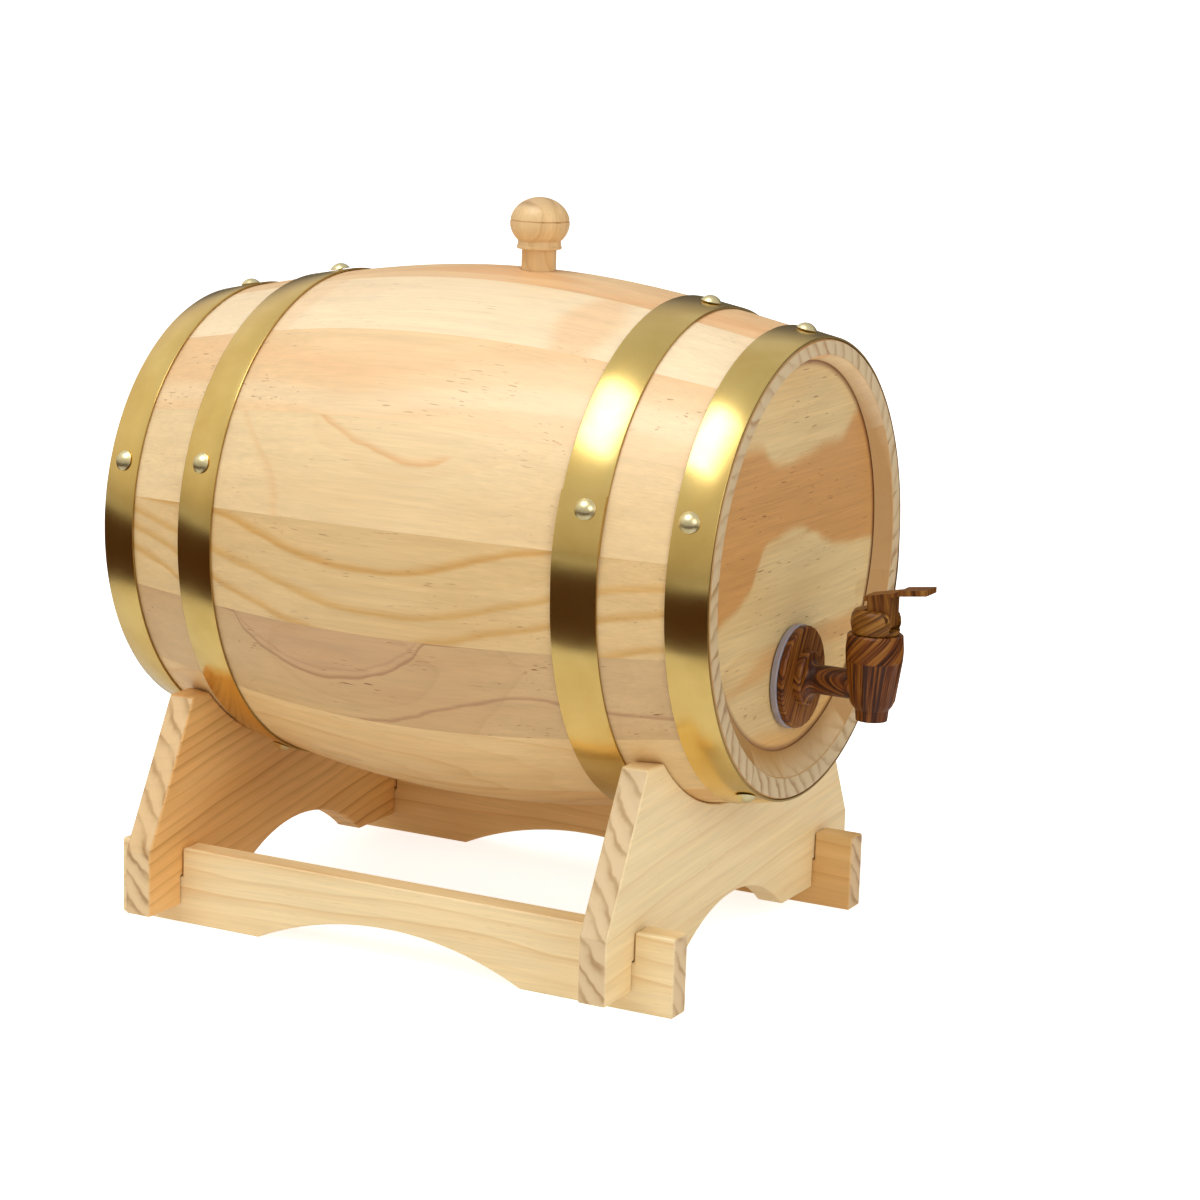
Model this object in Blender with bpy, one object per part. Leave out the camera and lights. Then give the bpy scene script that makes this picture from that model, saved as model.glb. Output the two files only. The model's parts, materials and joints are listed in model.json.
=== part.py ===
"""Small pine cask on a cradle stand, with a lever tap.

Metres, +Z up. The cask lies along Y with its tapped head towards -Y, and the stand's rails rest on z = 0.
Angles round the cask are measured from its top, positive towards +X.
"""

from math import acos, asin, atan2, cos, floor, hypot, pi, radians, sin, sqrt, tan

import bmesh
import bpy
from mathutils import Matrix, Vector

# Cask
cask_length = 0.250
bilge_radius = 0.0994
front_rim_radius = 0.0828
rear_rim_radius = 0.0811
shoulder_drop = 0.0045
axis_height = 0.1470
stave_count = 16
first_joint_angle = 9.0
stave_joint_gap = 0.0002
stave_thickness_bilge = 0.0146
chime_edge_radius = 0.0765
chime_edge_rise = 0.0010
head_opening_radius = 0.0706
head_opening_rise = 0.0044
head_recess = 0.0056
head_thickness = 0.0100
head_edge_bevel = 0.0015
croze_depth = 0.0036
seat_gap = 0.0003

# Hoops, each a strip whose ends lap and are tacked together
hoop_thickness = 0.0007
hoop_layer_gap = 0.0002
end_hoop_width = 0.0150
end_hoop_setback = 0.0002
quarter_hoop_width = 0.0163
quarter_hoop_setback = 0.0551
hoop_lap_angle = 13.0
hoop_ramp_angle = 9.0

# Round-headed tacks
tack_head_radius = 0.0038
tack_head_height = 0.0023
tack_shank_radius = 0.0009
tack_length = 0.0048
tack_point_length = 0.0016
near_side_lap_end = -68.0
far_side_lap_end = 112.0
# Each tack's angle, and how far behind the middle of its hoop it sits
front_end_tacks = ((-71.0, 0.0020), (4.0, 0.0006), (106.0, 0.0), (-153.5, -0.0030))
front_quarter_tacks = ((-71.5, -0.0015), (2.0, -0.0020), (106.0, 0.0), (-160.0, 0.0))
rear_quarter_tacks = ((-71.5, 0.0), (-1.0, -0.0040), (106.0, 0.0), (-160.0, 0.0))
rear_end_tacks = ((-72.5, 0.0), (5.0, 0.0030), (106.0, 0.0), (-158.0, 0.0))

# Bung
bung_forward = 0.0108
bung_stem_radius = 0.0064
bung_stem_point_radius = 0.0060
bung_neck_height = 0.0076
bung_lip_radius = 0.0083
bung_lip_thickness = 0.0011
bung_cove_height = 0.0018
bung_cove_radius = 0.0079
bung_knob_radius = 0.0110
bung_knob_half_height = 0.0094
bung_groove_depth = 0.0005
bung_groove_lift = 0.0009
bung_below_stave = 0.0015

# Stand
board_thickness = 0.0109
cradle_setback = 0.0356
foot_half_width = 0.1025
foot_clearance = 0.0070
shoulder_height = 0.0310
horn_drop = 0.0618
horn_outer = 0.0745
cradle_arch_half_width = 0.0445
cradle_arch_rise = 0.0162
rail_inner_offset = 0.0718
rail_thickness = 0.0102
rail_height = 0.0289
rail_overhang = 0.0160
rail_arch_half_length = 0.0555
rail_arch_rise = 0.0125
arris_width = 0.0006

# Tap: shank, flange and pipe along Y, body upright
tap_drop = 0.0394
tap_body_forward = 0.0263
shank_radius = 0.0065
shank_beyond_nut = 0.0040
inlet_bore_radius = 0.0033
outer_washer_radius = 0.0191
outer_washer_thickness = 0.0026
flange_radius = 0.0187
flange_thickness = 0.0022
flange_edge_radius = 0.0006
collar_radius = 0.0100
collar_thickness = 0.0028
collar_fillet = 0.0030
pipe_radius = 0.00535
inner_washer_radius = 0.0120
inner_washer_thickness = 0.0020
nut_across_flats = 0.0220
nut_thickness = 0.0060
nut_chamfer = 0.0010
body_rim_height = 0.0196
body_rim_radius = 0.0101
body_rim_round = 0.0006
body_bulge_radius = 0.0105
body_bulge_height = 0.0140
facet_start_height = 0.0102
facet_start_radius = 0.0103
facet_end_depth = 0.0050
facet_end_radius = 0.0082
body_foot_radius = 0.0075
body_foot_depth = 0.0065
spout_top_depth = 0.0081
spout_top_radius = 0.0061
spout_tip_depth = 0.0120
spout_tip_radius = 0.0057
spout_bore_radius = 0.0035
facet_count = 12
chamber_radius = 0.0055
chamber_floor_depth = 0.0040

# Bonnet and lever
bonnet_plug_bottom = 0.0120
bonnet_foot_radius = 0.0084
bonnet_radius = 0.0092
bonnet_top_radius = 0.0071
bonnet_height = 0.0085
bonnet_belly_share = 0.42
slot_floor_height = 0.0214
pivot_height = 0.0257
pivot_forward = 0.0050
lever_width = 0.0094
web_front_reach = 0.0016
web_rear_reach = 0.0069
web_front_chamfer = 0.0011
heel_reach = 0.0084
heel_top_height = 0.0078
lever_plate_thickness = 0.0019
lever_plate_tilt = 12.0
step_reach = 0.0036
step_rise = 0.0009
step_run = 0.0014
paddle_reach = 0.0155
paddle_thickness = 0.0021
paddle_tilt = 7.0
trunnion_radius = 0.0015
trunnion_length = 0.0015
lever_travel = 22.0

# Valve inside the tap
stem_ball_radius = 0.0017
stem_neck_radius = 0.0010
stem_radius = 0.0014
pocket_slack = 0.0005
stem_disc_radius = 0.0036
stem_disc_thickness = 0.0014
stem_spigot_depth = 0.0020
seal_radius = 0.00475
seal_thickness = 0.0029
spring_mean_radius = 0.0028
spring_wire_radius = 0.00035
spring_turns = 5

# Facets
facets_per_stave = 4
bilge_steps = 10
inner_steps = 4
round_steps = 24
small_round_steps = 12
tack_steps = 8
saddle_steps = 14
arch_steps = 12
fillet_steps = 3
cutter_overrun = 0.002
weld_distance = 0.000001
sharp_angle = 32.0

head_face = cask_length / 2 - head_recess
croze_radius = head_opening_radius + croze_depth
croze_width = head_thickness + 2 * seat_gap
stave_angle = 360.0 / stave_count
quarter_hoop_offset = cask_length / 2 - quarter_hoop_setback
cradle_inner_offset = cask_length / 2 - cradle_setback
cradle_outer_offset = cradle_inner_offset + board_thickness
rail_end = cradle_outer_offset + rail_overhang
rail_outer_offset = rail_inner_offset + rail_thickness
lap_height = (foot_clearance + rail_height) / 2
tap_height = axis_height - tap_drop

head_outside = -head_face + seat_gap
washer_back = head_outside - seat_gap
washer_front = washer_back - outer_washer_thickness
flange_back = washer_front - seat_gap
flange_front = flange_back - flange_thickness
collar_front = flange_front - collar_thickness
head_inside = head_outside + head_thickness
inner_washer_start = head_inside + seat_gap
inner_washer_end = inner_washer_start + inner_washer_thickness
nut_start = inner_washer_end + seat_gap
nut_end = nut_start + nut_thickness
shank_end = nut_end + shank_beyond_nut
tap_y = -cask_length / 2 - tap_body_forward
pivot = Vector((0, tap_y - pivot_forward, tap_height + pivot_height))
clear_shank_radius = shank_radius + seat_gap

smooth_objects = []


def clear_scene():
    for old in list(bpy.data.objects):
        bpy.data.objects.remove(old, do_unlink=True)


def material(name, colour, roughness, metallic=0.0):
    made = bpy.data.materials.new(name)
    made.use_nodes = True
    shader = made.node_tree.nodes["Principled BSDF"]
    shader.inputs["Base Color"].default_value = (*colour, 1.0)
    shader.inputs["Roughness"].default_value = roughness
    shader.inputs["Metallic"].default_value = metallic
    return made


def add_object(name, bm, finish, smooth=True):
    """Puts a finished bmesh in the scene under the model's root."""
    bmesh.ops.remove_doubles(bm, verts=bm.verts, dist=weld_distance)
    bmesh.ops.dissolve_degenerate(bm, edges=bm.edges, dist=weld_distance)
    bmesh.ops.recalc_face_normals(bm, faces=bm.faces)
    mesh = bpy.data.meshes.new(name)
    bm.to_mesh(mesh)
    bm.free()
    if smooth:
        mesh.shade_smooth()
        mesh.set_sharp_from_angle(angle=radians(sharp_angle))
    if finish:
        mesh.materials.append(finish)
    made = bpy.data.objects.new(name, mesh)
    bpy.context.scene.collection.objects.link(made)
    made.parent = model_root
    return made


def loft(rings, closed=False):
    """A bmesh that skins rings of equally many points; an open run is capped at both ends."""
    bm = bmesh.new()
    rows = [[bm.verts.new(point) for point in ring] for ring in rings]
    pairs = list(zip(rows, rows[1:]))
    if closed:
        pairs.append((rows[-1], rows[0]))
    for first, second in pairs:
        for index in range(len(first)):
            after = (index + 1) % len(first)
            bm.faces.new((first[index], first[after], second[after], second[index]))
    if not closed:
        bm.faces.new(rows[0])
        bm.faces.new(rows[-1])
    return bm


def turned(profile, steps, axis="Z", centre=(0, 0, 0)):
    """Revolves a closed profile of (radius, height) points about an axis through centre."""
    rings = []
    for step in range(steps):
        angle = 2 * pi * step / steps
        if axis == "Z":
            ring = [(r * cos(angle), r * sin(angle), h) for r, h in profile]
        else:
            ring = [(r * cos(angle), h, r * sin(angle)) for r, h in profile]
        rings.append([Vector(point) + Vector(centre) for point in ring])
    return loft(rings, closed=True)


def cylinder(radius, low, high, steps, axis="Z", centre=(0, 0, 0)):
    return turned([(0, low), (radius, low), (radius, high), (0, high)], steps, axis, centre)


def extruded(outline, near, far, plane):
    """A slab with the given outline; plane names the two axes that the outline's points use."""
    order = {"xz": lambda a, b, c: (a, c, b), "yz": lambda a, b, c: (c, a, b)}[plane]
    return loft([[Vector(order(a, b, depth)) for a, b in outline] for depth in (near, far)])


def arc(centre, radius, start, end, count):
    """Points on an arc from start to end, in degrees from the first axis towards the second."""
    angles = [radians(start + (end - start) * index / count) for index in range(count + 1)]
    return [(centre[0] + radius * cos(angle), centre[1] + radius * sin(angle)) for angle in angles]


def shape_with(target, tool, operation):
    """Cuts or joins target with a helper object that isn't rendered."""
    change = target.modifiers.new(tool.name, "BOOLEAN")
    change.operation = operation
    change.solver = "EXACT"
    change.object = tool
    tool.hide_render = True
    tool.display_type = "WIRE"


def ease_edges(target, width):
    ease = target.modifiers.new("eased_edges", "BEVEL")
    ease.width = width
    ease.segments = 1
    ease.limit_method = "ANGLE"
    ease.angle_limit = radians(sharp_angle)


def around(angle, radius, y):
    """The point at an angle from the cask's top, on a circle about its axis."""
    turn = radians(angle)
    return Vector((radius * sin(turn), y, axis_height + radius * cos(turn)))


def along_share(y):
    """Zero at the bilge and one at either end, rising as a square."""
    return (2 * y / cask_length) ** 2


def outer_radius(y):
    """The cask's outside: a parabola from bilge to rim, falling a little faster at the shoulders."""
    share = along_share(y)
    rim = front_rim_radius if y < 0 else rear_rim_radius
    return bilge_radius - (bilge_radius - rim) * share - shoulder_drop * share * (1 - share)


def off_centre(radius, rise, angle):
    """Distance from the cask's axis to a circle whose middle lies above it by rise."""
    turn = radians(angle)
    return rise * cos(turn) + sqrt(radius**2 - (rise * sin(turn)) ** 2)


def inner_radius(y, angle):
    bilge = bilge_radius - stave_thickness_bilge
    share = along_share(y)
    radius = bilge - (bilge - head_opening_radius) * share
    return off_centre(radius, head_opening_rise * share, angle)


def stave_profile(angle):
    """The closed (radius, y) outline of the staves at an angle: outside, chime, croze and inside."""
    half = cask_length / 2
    outside = [half * (2 * step / bilge_steps - 1) for step in range(bilge_steps + 1)]
    profile = [(outer_radius(y), y) for y in outside]
    croze_inside = head_face - croze_width
    opening = off_centre(head_opening_radius, head_opening_rise, angle)
    croze = off_centre(croze_radius, head_opening_rise, angle)
    end = [
        (off_centre(chime_edge_radius, chime_edge_rise, angle), half),
        (opening, head_face),
        (croze, head_face),
        (croze, croze_inside),
    ]
    profile += end
    inside = [croze_inside * (1 - 2 * step / inner_steps) for step in range(inner_steps + 1)]
    profile += [(inner_radius(y, angle), y) for y in inside]
    profile += [(radius, -y) for radius, y in reversed(end)]
    return profile


def make_staves(pine):
    staves = []
    for number in range(stave_count):
        start = first_joint_angle + stave_angle * number
        rings = []
        for step in range(facets_per_stave + 1):
            angle = start + stave_angle * step / facets_per_stave
            shift = Vector((0, 0, 0))
            if step in (0, facets_per_stave):
                side = 1 if step == 0 else -1
                along = radians(angle)
                shift = Vector((cos(along), 0, -sin(along))) * side * stave_joint_gap / 2
            rings.append([around(angle, radius, y) + shift for radius, y in stave_profile(angle)])
        staves.append(add_object(f"stave_{number + 1:02d}", loft(rings), pine))
    return staves


def stave_at(staves, angle):
    return staves[floor((angle - first_joint_angle) / stave_angle) % stave_count]


def make_head(name, side, pine):
    """A flat head whose bevelled edge sits in the croze; side is -1 at the front, 1 at the rear."""
    outside = side * (head_face - seat_gap)
    inside = outside - side * head_thickness
    radius = croze_radius - seat_gap
    profile = [
        (0, outside),
        (radius - head_edge_bevel, outside),
        (radius, outside - side * head_edge_bevel),
        (radius, inside + side * head_edge_bevel),
        (radius - head_edge_bevel, inside),
        (0, inside),
    ]
    steps = stave_count * facets_per_stave
    centre = (0, 0, axis_height + head_opening_rise)
    return add_object(name, turned(profile, steps, "Y", centre), pine)


def hoop_seat_radius(y, edges):
    """The hoop's inner radius at y, on a cone just clear of the staves at both edges."""
    low, high = (outer_radius(edge) + seat_gap for edge in edges)
    return low + (high - low) * (y - edges[0]) / (edges[1] - edges[0])


def lap_rise(travel):
    """How far a strip that has gone round by travel degrees has climbed onto its own start."""
    climb = hoop_thickness + hoop_layer_gap
    return climb * min(1.0, max(0.0, (travel - (360.0 - hoop_ramp_angle)) / hoop_ramp_angle))


def make_hoop(name, edges, lap_end, brass):
    """A strip once round the cask and on over its own start, up to lap_end."""
    step_angle = stave_angle / facets_per_stave
    start = lap_end - hoop_lap_angle
    total = 360.0 + hoop_lap_angle
    travels = {index * step_angle for index in range(floor(total / step_angle) + 1)}
    travels |= {360.0 - hoop_ramp_angle, total}
    rings = []
    for travel in sorted(travels):
        rise = lap_rise(travel)
        inner = [(hoop_seat_radius(y, edges) + rise, y) for y in edges]
        outer = [(radius + hoop_thickness, y) for radius, y in reversed(inner)]
        rings.append([around(start + travel, radius, y) for radius, y in inner + outer])
    return add_object(name, loft(rings), brass)


def tack_frame(edges, lap_end, angle, setback):
    """A frame on the hoop's outer face with its Z along the tack's axis, pointing out."""
    y = sum(edges) / 2 + setback
    back = (lap_end - angle) % 360.0
    rise = hoop_thickness + hoop_layer_gap if back < hoop_lap_angle else 0
    seat = around(angle, hoop_seat_radius(y, edges) + rise + hoop_thickness, y)
    slope = atan2(outer_radius(edges[1]) - outer_radius(edges[0]), edges[1] - edges[0])
    turn = radians(angle)
    outward = Vector((sin(turn) * cos(slope), -sin(slope), cos(turn) * cos(slope)))
    frame = outward.to_track_quat("Z", "Y").to_matrix().to_4x4()
    frame.translation = seat + outward * seat_gap
    return frame


def tack_profile():
    """The closed (radius, height) outline of a tack whose head sits on height zero."""
    sphere = (tack_head_radius**2 + tack_head_height**2) / (2 * tack_head_height)
    rim_turn = asin(tack_head_radius / sphere)
    drop = sphere - tack_head_height
    dome_steps = 3
    dome = []
    for step in range(dome_steps + 1):
        turn = rim_turn * (1 - step / dome_steps)
        dome.append((sphere * sin(turn), sphere * cos(turn) - drop))
    shank = [
        (0, -tack_length),
        (tack_shank_radius, tack_point_length - tack_length),
        (tack_shank_radius, 0),
    ]
    return shank + dome


def make_tacks(hoop_name, edges, lap_end, places, staves, hoop, brass):
    """Tacks a hoop to the staves, and drills hoop and staves for the shanks."""
    drill = bmesh.new()
    drilled = []
    for number, (angle, setback) in enumerate(places):
        frame = tack_frame(edges, lap_end, angle, setback)
        tack = turned(tack_profile(), tack_steps)
        made = add_object(f"tack_{hoop_name}_{number + 1}", tack, brass)
        made.matrix_local = frame
        hole = cylinder(
            tack_shank_radius + seat_gap, -tack_length - seat_gap, cutter_overrun, tack_steps
        )
        bmesh.ops.transform(hole, matrix=frame, verts=hole.verts)
        scratch = bpy.data.meshes.new("hole")
        hole.to_mesh(scratch)
        hole.free()
        drill.from_mesh(scratch)
        bpy.data.meshes.remove(scratch)
        drilled.append(stave_at(staves, angle))
    cutter = add_object(f"tack_holes_{hoop_name}", drill, None)
    shape_with(hoop, cutter, "DIFFERENCE")
    for stave in dict.fromkeys(drilled):
        shape_with(stave, cutter, "DIFFERENCE")


def make_hoops(staves, brass, tack_brass):
    half = cask_length / 2
    end = (half - end_hoop_setback - end_hoop_width, half - end_hoop_setback)
    quarter = (quarter_hoop_offset, quarter_hoop_offset + quarter_hoop_width)
    front_end = tuple(-y for y in reversed(end))
    front_quarter = tuple(-y for y in reversed(quarter))
    layout = (
        ("front_end", front_end, far_side_lap_end, front_end_tacks),
        ("front_quarter", front_quarter, near_side_lap_end, front_quarter_tacks),
        ("rear_quarter", quarter, far_side_lap_end, rear_quarter_tacks),
        ("rear_end", end, far_side_lap_end, rear_end_tacks),
    )
    for name, edges, lap_end, places in layout:
        hoop = make_hoop(f"hoop_{name}", edges, lap_end, brass)
        make_tacks(name, edges, lap_end, places, staves, hoop, tack_brass)


def bung_profile():
    """Turned outline from the stem's foot up to the top of the knob, measured from the cask's top."""
    foot = -stave_thickness_bilge - bung_below_stave
    lip_top = bung_neck_height + bung_lip_thickness
    cove_top = lip_top + bung_cove_height
    start = -acos(bung_cove_radius / bung_knob_radius)
    centre = cove_top - bung_knob_half_height * sin(start)
    points = [
        (0, foot),
        (bung_stem_point_radius, foot),
        (bung_stem_radius, 0),
        (bung_stem_radius, bung_neck_height),
        (bung_lip_radius, bung_neck_height),
        (bung_lip_radius, lip_top),
    ]
    groove_turn = asin(bung_groove_lift / bung_knob_half_height)
    half_groove = bung_groove_depth / bung_knob_radius
    knob_steps = 4

    def on_knob(turn, inset=0):
        radius = (bung_knob_radius - inset) * cos(turn)
        return (max(0, radius), centre + bung_knob_half_height * sin(turn))

    for step in range(knob_steps + 1):
        points.append(on_knob(start + (groove_turn - half_groove - start) * step / knob_steps))
    points.append(on_knob(groove_turn, bung_groove_depth))
    top_start = groove_turn + half_groove
    for step in range(knob_steps + 1):
        points.append(on_knob(top_start + (pi / 2 - top_start) * step / knob_steps))
    return points


def make_bung(staves, pine):
    base = (0, -bung_forward, axis_height + bilge_radius)
    bung = add_object("bung", turned(bung_profile(), round_steps), pine)
    bung.location = base
    depth = stave_thickness_bilge + cutter_overrun
    hole = cylinder(bung_stem_radius + seat_gap, -depth, cutter_overrun, round_steps, "Z", base)
    cutter = add_object("bung_hole", hole, None)
    shape_with(stave_at(staves, 0), cutter, "DIFFERENCE")


def cradle_outline(saddle_radius):
    """Half outline from the saddle's lowest point, out and round to the arch's top, then mirrored."""
    saddle_half_turn = acos(horn_drop / saddle_radius)
    saddle_end = saddle_half_turn * 180 / pi
    half = arc((0, axis_height), saddle_radius, -90, -90 + saddle_end, saddle_steps)
    notch_top = lap_height + seat_gap / 2
    half += [
        (horn_outer, axis_height - horn_drop),
        (foot_half_width, shoulder_height),
        (foot_half_width, foot_clearance),
        (rail_outer_offset + seat_gap, foot_clearance),
        (rail_outer_offset + seat_gap, notch_top),
        (rail_inner_offset - seat_gap, notch_top),
        (rail_inner_offset - seat_gap, foot_clearance),
    ]
    half += arch(cradle_arch_half_width, cradle_arch_rise, foot_clearance)
    return half + [(-x, z) for x, z in reversed(half[1:-1])]


def arch(half_width, rise, base):
    """An arch's right half, from its foot to its crown."""
    radius = (half_width**2 + rise**2) / (2 * rise)
    foot_angle = 90 - asin(half_width / radius) * 180 / pi
    return arc((0, base + rise - radius), radius, foot_angle, 90, arch_steps)


def make_cradle(name, side, pine):
    """A board whose saddle follows the cask's taper; side is -1 at the front, 1 at the rear."""
    rings = []
    for offset in (cradle_inner_offset, cradle_outer_offset):
        outline = cradle_outline(outer_radius(side * offset) + seat_gap)
        rings.append([Vector((x, side * offset, z)) for x, z in outline])
    cradle = add_object(name, loft(rings), pine, smooth=False)
    ease_edges(cradle, arris_width)
    return cradle


def rail_outline():
    notch_floor = lap_height - seat_gap / 2
    half = [
        (0, rail_height),
        (cradle_inner_offset - seat_gap, rail_height),
        (cradle_inner_offset - seat_gap, notch_floor),
        (cradle_outer_offset + seat_gap, notch_floor),
        (cradle_outer_offset + seat_gap, rail_height),
        (rail_end, rail_height),
        (rail_end, 0),
    ]
    half += arch(rail_arch_half_length, rail_arch_rise, 0)
    return half + [(-y, z) for y, z in reversed(half[1:-1])]


def make_rail(name, side, pine):
    near, far = side * rail_inner_offset, side * rail_outer_offset
    rail = add_object(name, extruded(rail_outline(), near, far, "yz"), pine, smooth=False)
    ease_edges(rail, arris_width)
    return rail


def tap_pipe_profile():
    """Outline along -Y of shank, flange, collar and pipe, from the shank's open end to the body's axis."""
    edge = flange_edge_radius
    flange_edge = [(flange_radius, flange_back), (flange_radius, flange_front + edge)]
    flange_edge += [(flange_radius - edge, flange_front)]
    collar_edge = [(collar_radius, flange_front), (collar_radius, collar_front + edge)]
    collar_edge += [(collar_radius - edge, collar_front)]
    corner = (pipe_radius + collar_fillet, collar_front - collar_fillet)
    neck = arc(corner, collar_fillet, 90, 180, fillet_steps)
    shank = [(0, shank_end), (shank_radius, shank_end), (shank_radius, flange_back)]
    return shank + flange_edge + collar_edge + neck + [(pipe_radius, tap_y), (0, tap_y)]


def tap_barrel_rings():
    """Rings of the upright body: round above, twelve flats below, then the round spout."""
    steps = 2 * facet_count
    flat_share = cos(pi / facet_count)
    levels = [
        (body_rim_radius - body_rim_round, body_rim_height, 1),
        (body_rim_radius, body_rim_height - body_rim_round, 1),
        (body_bulge_radius, body_bulge_height, 1),
        (facet_start_radius, facet_start_height, 1),
        (facet_start_radius, facet_start_height - body_rim_round, flat_share),
        (facet_end_radius, -facet_end_depth, flat_share),
        (body_foot_radius, -body_foot_depth, flat_share),
        (spout_top_radius, -spout_top_depth, 1),
        (spout_tip_radius, -spout_tip_depth, 1),
    ]
    rings = []
    for radius, height, flat in levels:
        ring = []
        for step in range(steps):
            turn = 2 * pi * step / steps
            reach = radius * (flat if step % 2 else 1)
            ring.append(Vector((reach * cos(turn), tap_y + reach * sin(turn), tap_height + height)))
        rings.append(ring)
    return rings


def make_tap_body(plastic):
    centre = (0, 0, tap_height)
    body = add_object("tap_body", loft(tap_barrel_rings()), plastic)
    pipe = add_object("tap_pipe_tool", turned(tap_pipe_profile(), round_steps, "Y", centre), None)
    shape_with(body, pipe, "UNION")
    upright = (0, tap_y, tap_height)
    top = body_rim_height + cutter_overrun
    chamber = cylinder(chamber_radius, -chamber_floor_depth, top, round_steps, "Z", upright)
    shape_with(body, add_object("tap_chamber_tool", chamber, None), "DIFFERENCE")
    outlet = -spout_tip_depth - cutter_overrun
    spout = cylinder(spout_bore_radius, outlet, 0, small_round_steps, "Z", upright)
    shape_with(body, add_object("tap_spout_tool", spout, None), "DIFFERENCE")
    entry = shank_end + cutter_overrun
    inlet = cylinder(inlet_bore_radius, tap_y, entry, small_round_steps, "Y", centre)
    shape_with(body, add_object("tap_inlet_tool", inlet, None), "DIFFERENCE")
    return body


def make_ring(name, outer, inner, start, end, finish):
    profile = [(inner, start), (outer, start), (outer, end), (inner, end)]
    return add_object(name, turned(profile, round_steps, "Y", (0, 0, tap_height)), finish)


def make_nut(plastic):
    """A six-sided nut with turned corners, bored for the shank."""
    corner = nut_across_flats / 2 / cos(pi / 6)
    levels = (
        (corner - nut_chamfer, nut_start),
        (corner, nut_start + nut_chamfer / 2),
        (corner, nut_end - nut_chamfer / 2),
        (corner - nut_chamfer, nut_end),
    )
    rings = []
    for radius, y in levels:
        turns = [pi / 3 * step for step in range(6)]
        rings.append([Vector((radius * cos(t), y, tap_height + radius * sin(t))) for t in turns])
    nut = add_object("tap_nut", loft(rings), plastic)
    low, high = nut_start - cutter_overrun, nut_end + cutter_overrun
    bore = cylinder(clear_shank_radius, low, high, round_steps, "Y", (0, 0, tap_height))
    shape_with(nut, add_object("tap_nut_bore_tool", bore, None), "DIFFERENCE")
    return nut


def make_bonnet(plastic):
    """The cap that closes the chamber: a plug below, and above it two round cheeks beside a slot."""
    base = body_rim_height + seat_gap
    top = base + bonnet_height
    belly = base + bonnet_height * bonnet_belly_share
    plug_radius = chamber_radius - seat_gap
    profile = [(0, bonnet_plug_bottom), (plug_radius, bonnet_plug_bottom), (plug_radius, base)]
    profile.append((bonnet_foot_radius, base))
    dome_steps = 4
    for step in range(dome_steps + 1):
        turn = pi / 2 * step / dome_steps
        radius = bonnet_top_radius + (bonnet_radius - bonnet_top_radius) * cos(turn)
        profile.append((radius, belly + (top - belly) * sin(turn)))
    profile.append((0, top))
    bonnet = add_object("tap_bonnet", turned(profile, round_steps), plastic)
    bonnet.location = (0, tap_y, tap_height)

    half_slot = lever_width / 2 + seat_gap
    web_drop = pivot_height - slot_floor_height - seat_gap
    swing = hypot(web_rear_reach, web_drop) + seat_gap
    rear = tap_y - pivot_forward + swing
    front = tap_y - bonnet_radius - cutter_overrun
    floor_z = tap_height + slot_floor_height
    ceiling = tap_height + top + cutter_overrun
    slot_outline = [(rear, floor_z), (rear, ceiling), (front, ceiling), (front, floor_z)]
    slot = extruded(slot_outline, -half_slot, half_slot, "yz")
    shape_with(bonnet, add_object("bonnet_slot_tool", slot, None, smooth=False), "DIFFERENCE")

    reach = lever_width / 2 + trunnion_length + seat_gap
    sockets = turned_along_x(trunnion_radius + seat_gap, -reach, reach, pivot)
    shape_with(bonnet, add_object("bonnet_socket_tool", sockets, None), "DIFFERENCE")

    low = tap_height + bonnet_plug_bottom - cutter_overrun
    stem_way = cylinder(
        stem_ball_radius + seat_gap, low, floor_z + cutter_overrun, small_round_steps, "Z", (0, tap_y, 0)
    )
    shape_with(bonnet, add_object("bonnet_stem_tool", stem_way, None), "DIFFERENCE")
    return bonnet


def turned_along_x(radius, low, high, centre):
    bm = cylinder(radius, low, high, small_round_steps)
    lay = Matrix.Translation(centre) @ Matrix.Rotation(pi / 2, 4, "Y")
    bmesh.ops.transform(bm, matrix=lay, verts=bm.verts)
    return bm


def lever_outline():
    """Side view of the lever about its pivot: forward is -Y."""
    plate_slope = tan(radians(lever_plate_tilt))
    paddle_slope = tan(radians(paddle_tilt))
    web_bottom = slot_floor_height + seat_gap - pivot_height

    def plate_top(forward):
        return heel_top_height + (heel_reach + forward) * plate_slope

    def plate_under(forward):
        return plate_top(forward) - lever_plate_thickness

    step_top = step_reach + step_run
    paddle_start = plate_top(step_reach) + step_rise
    paddle_tip = paddle_start + (paddle_reach - step_top) * paddle_slope
    outline = [
        (-heel_reach, plate_top(-heel_reach)),
        (-heel_reach, plate_under(-heel_reach)),
        (-web_rear_reach, plate_under(-web_rear_reach)),
        (-web_rear_reach, web_bottom),
        (web_front_reach - web_front_chamfer, web_bottom),
        (web_front_reach, web_bottom + web_front_chamfer),
        (web_front_reach, plate_under(web_front_reach)),
        (step_top, paddle_start - paddle_thickness),
        (paddle_reach, paddle_tip - paddle_thickness),
        (paddle_reach, paddle_tip),
        (step_top, paddle_start),
        (step_reach, plate_top(step_reach)),
    ]
    return [(-forward, height) for forward, height in outline]


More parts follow.
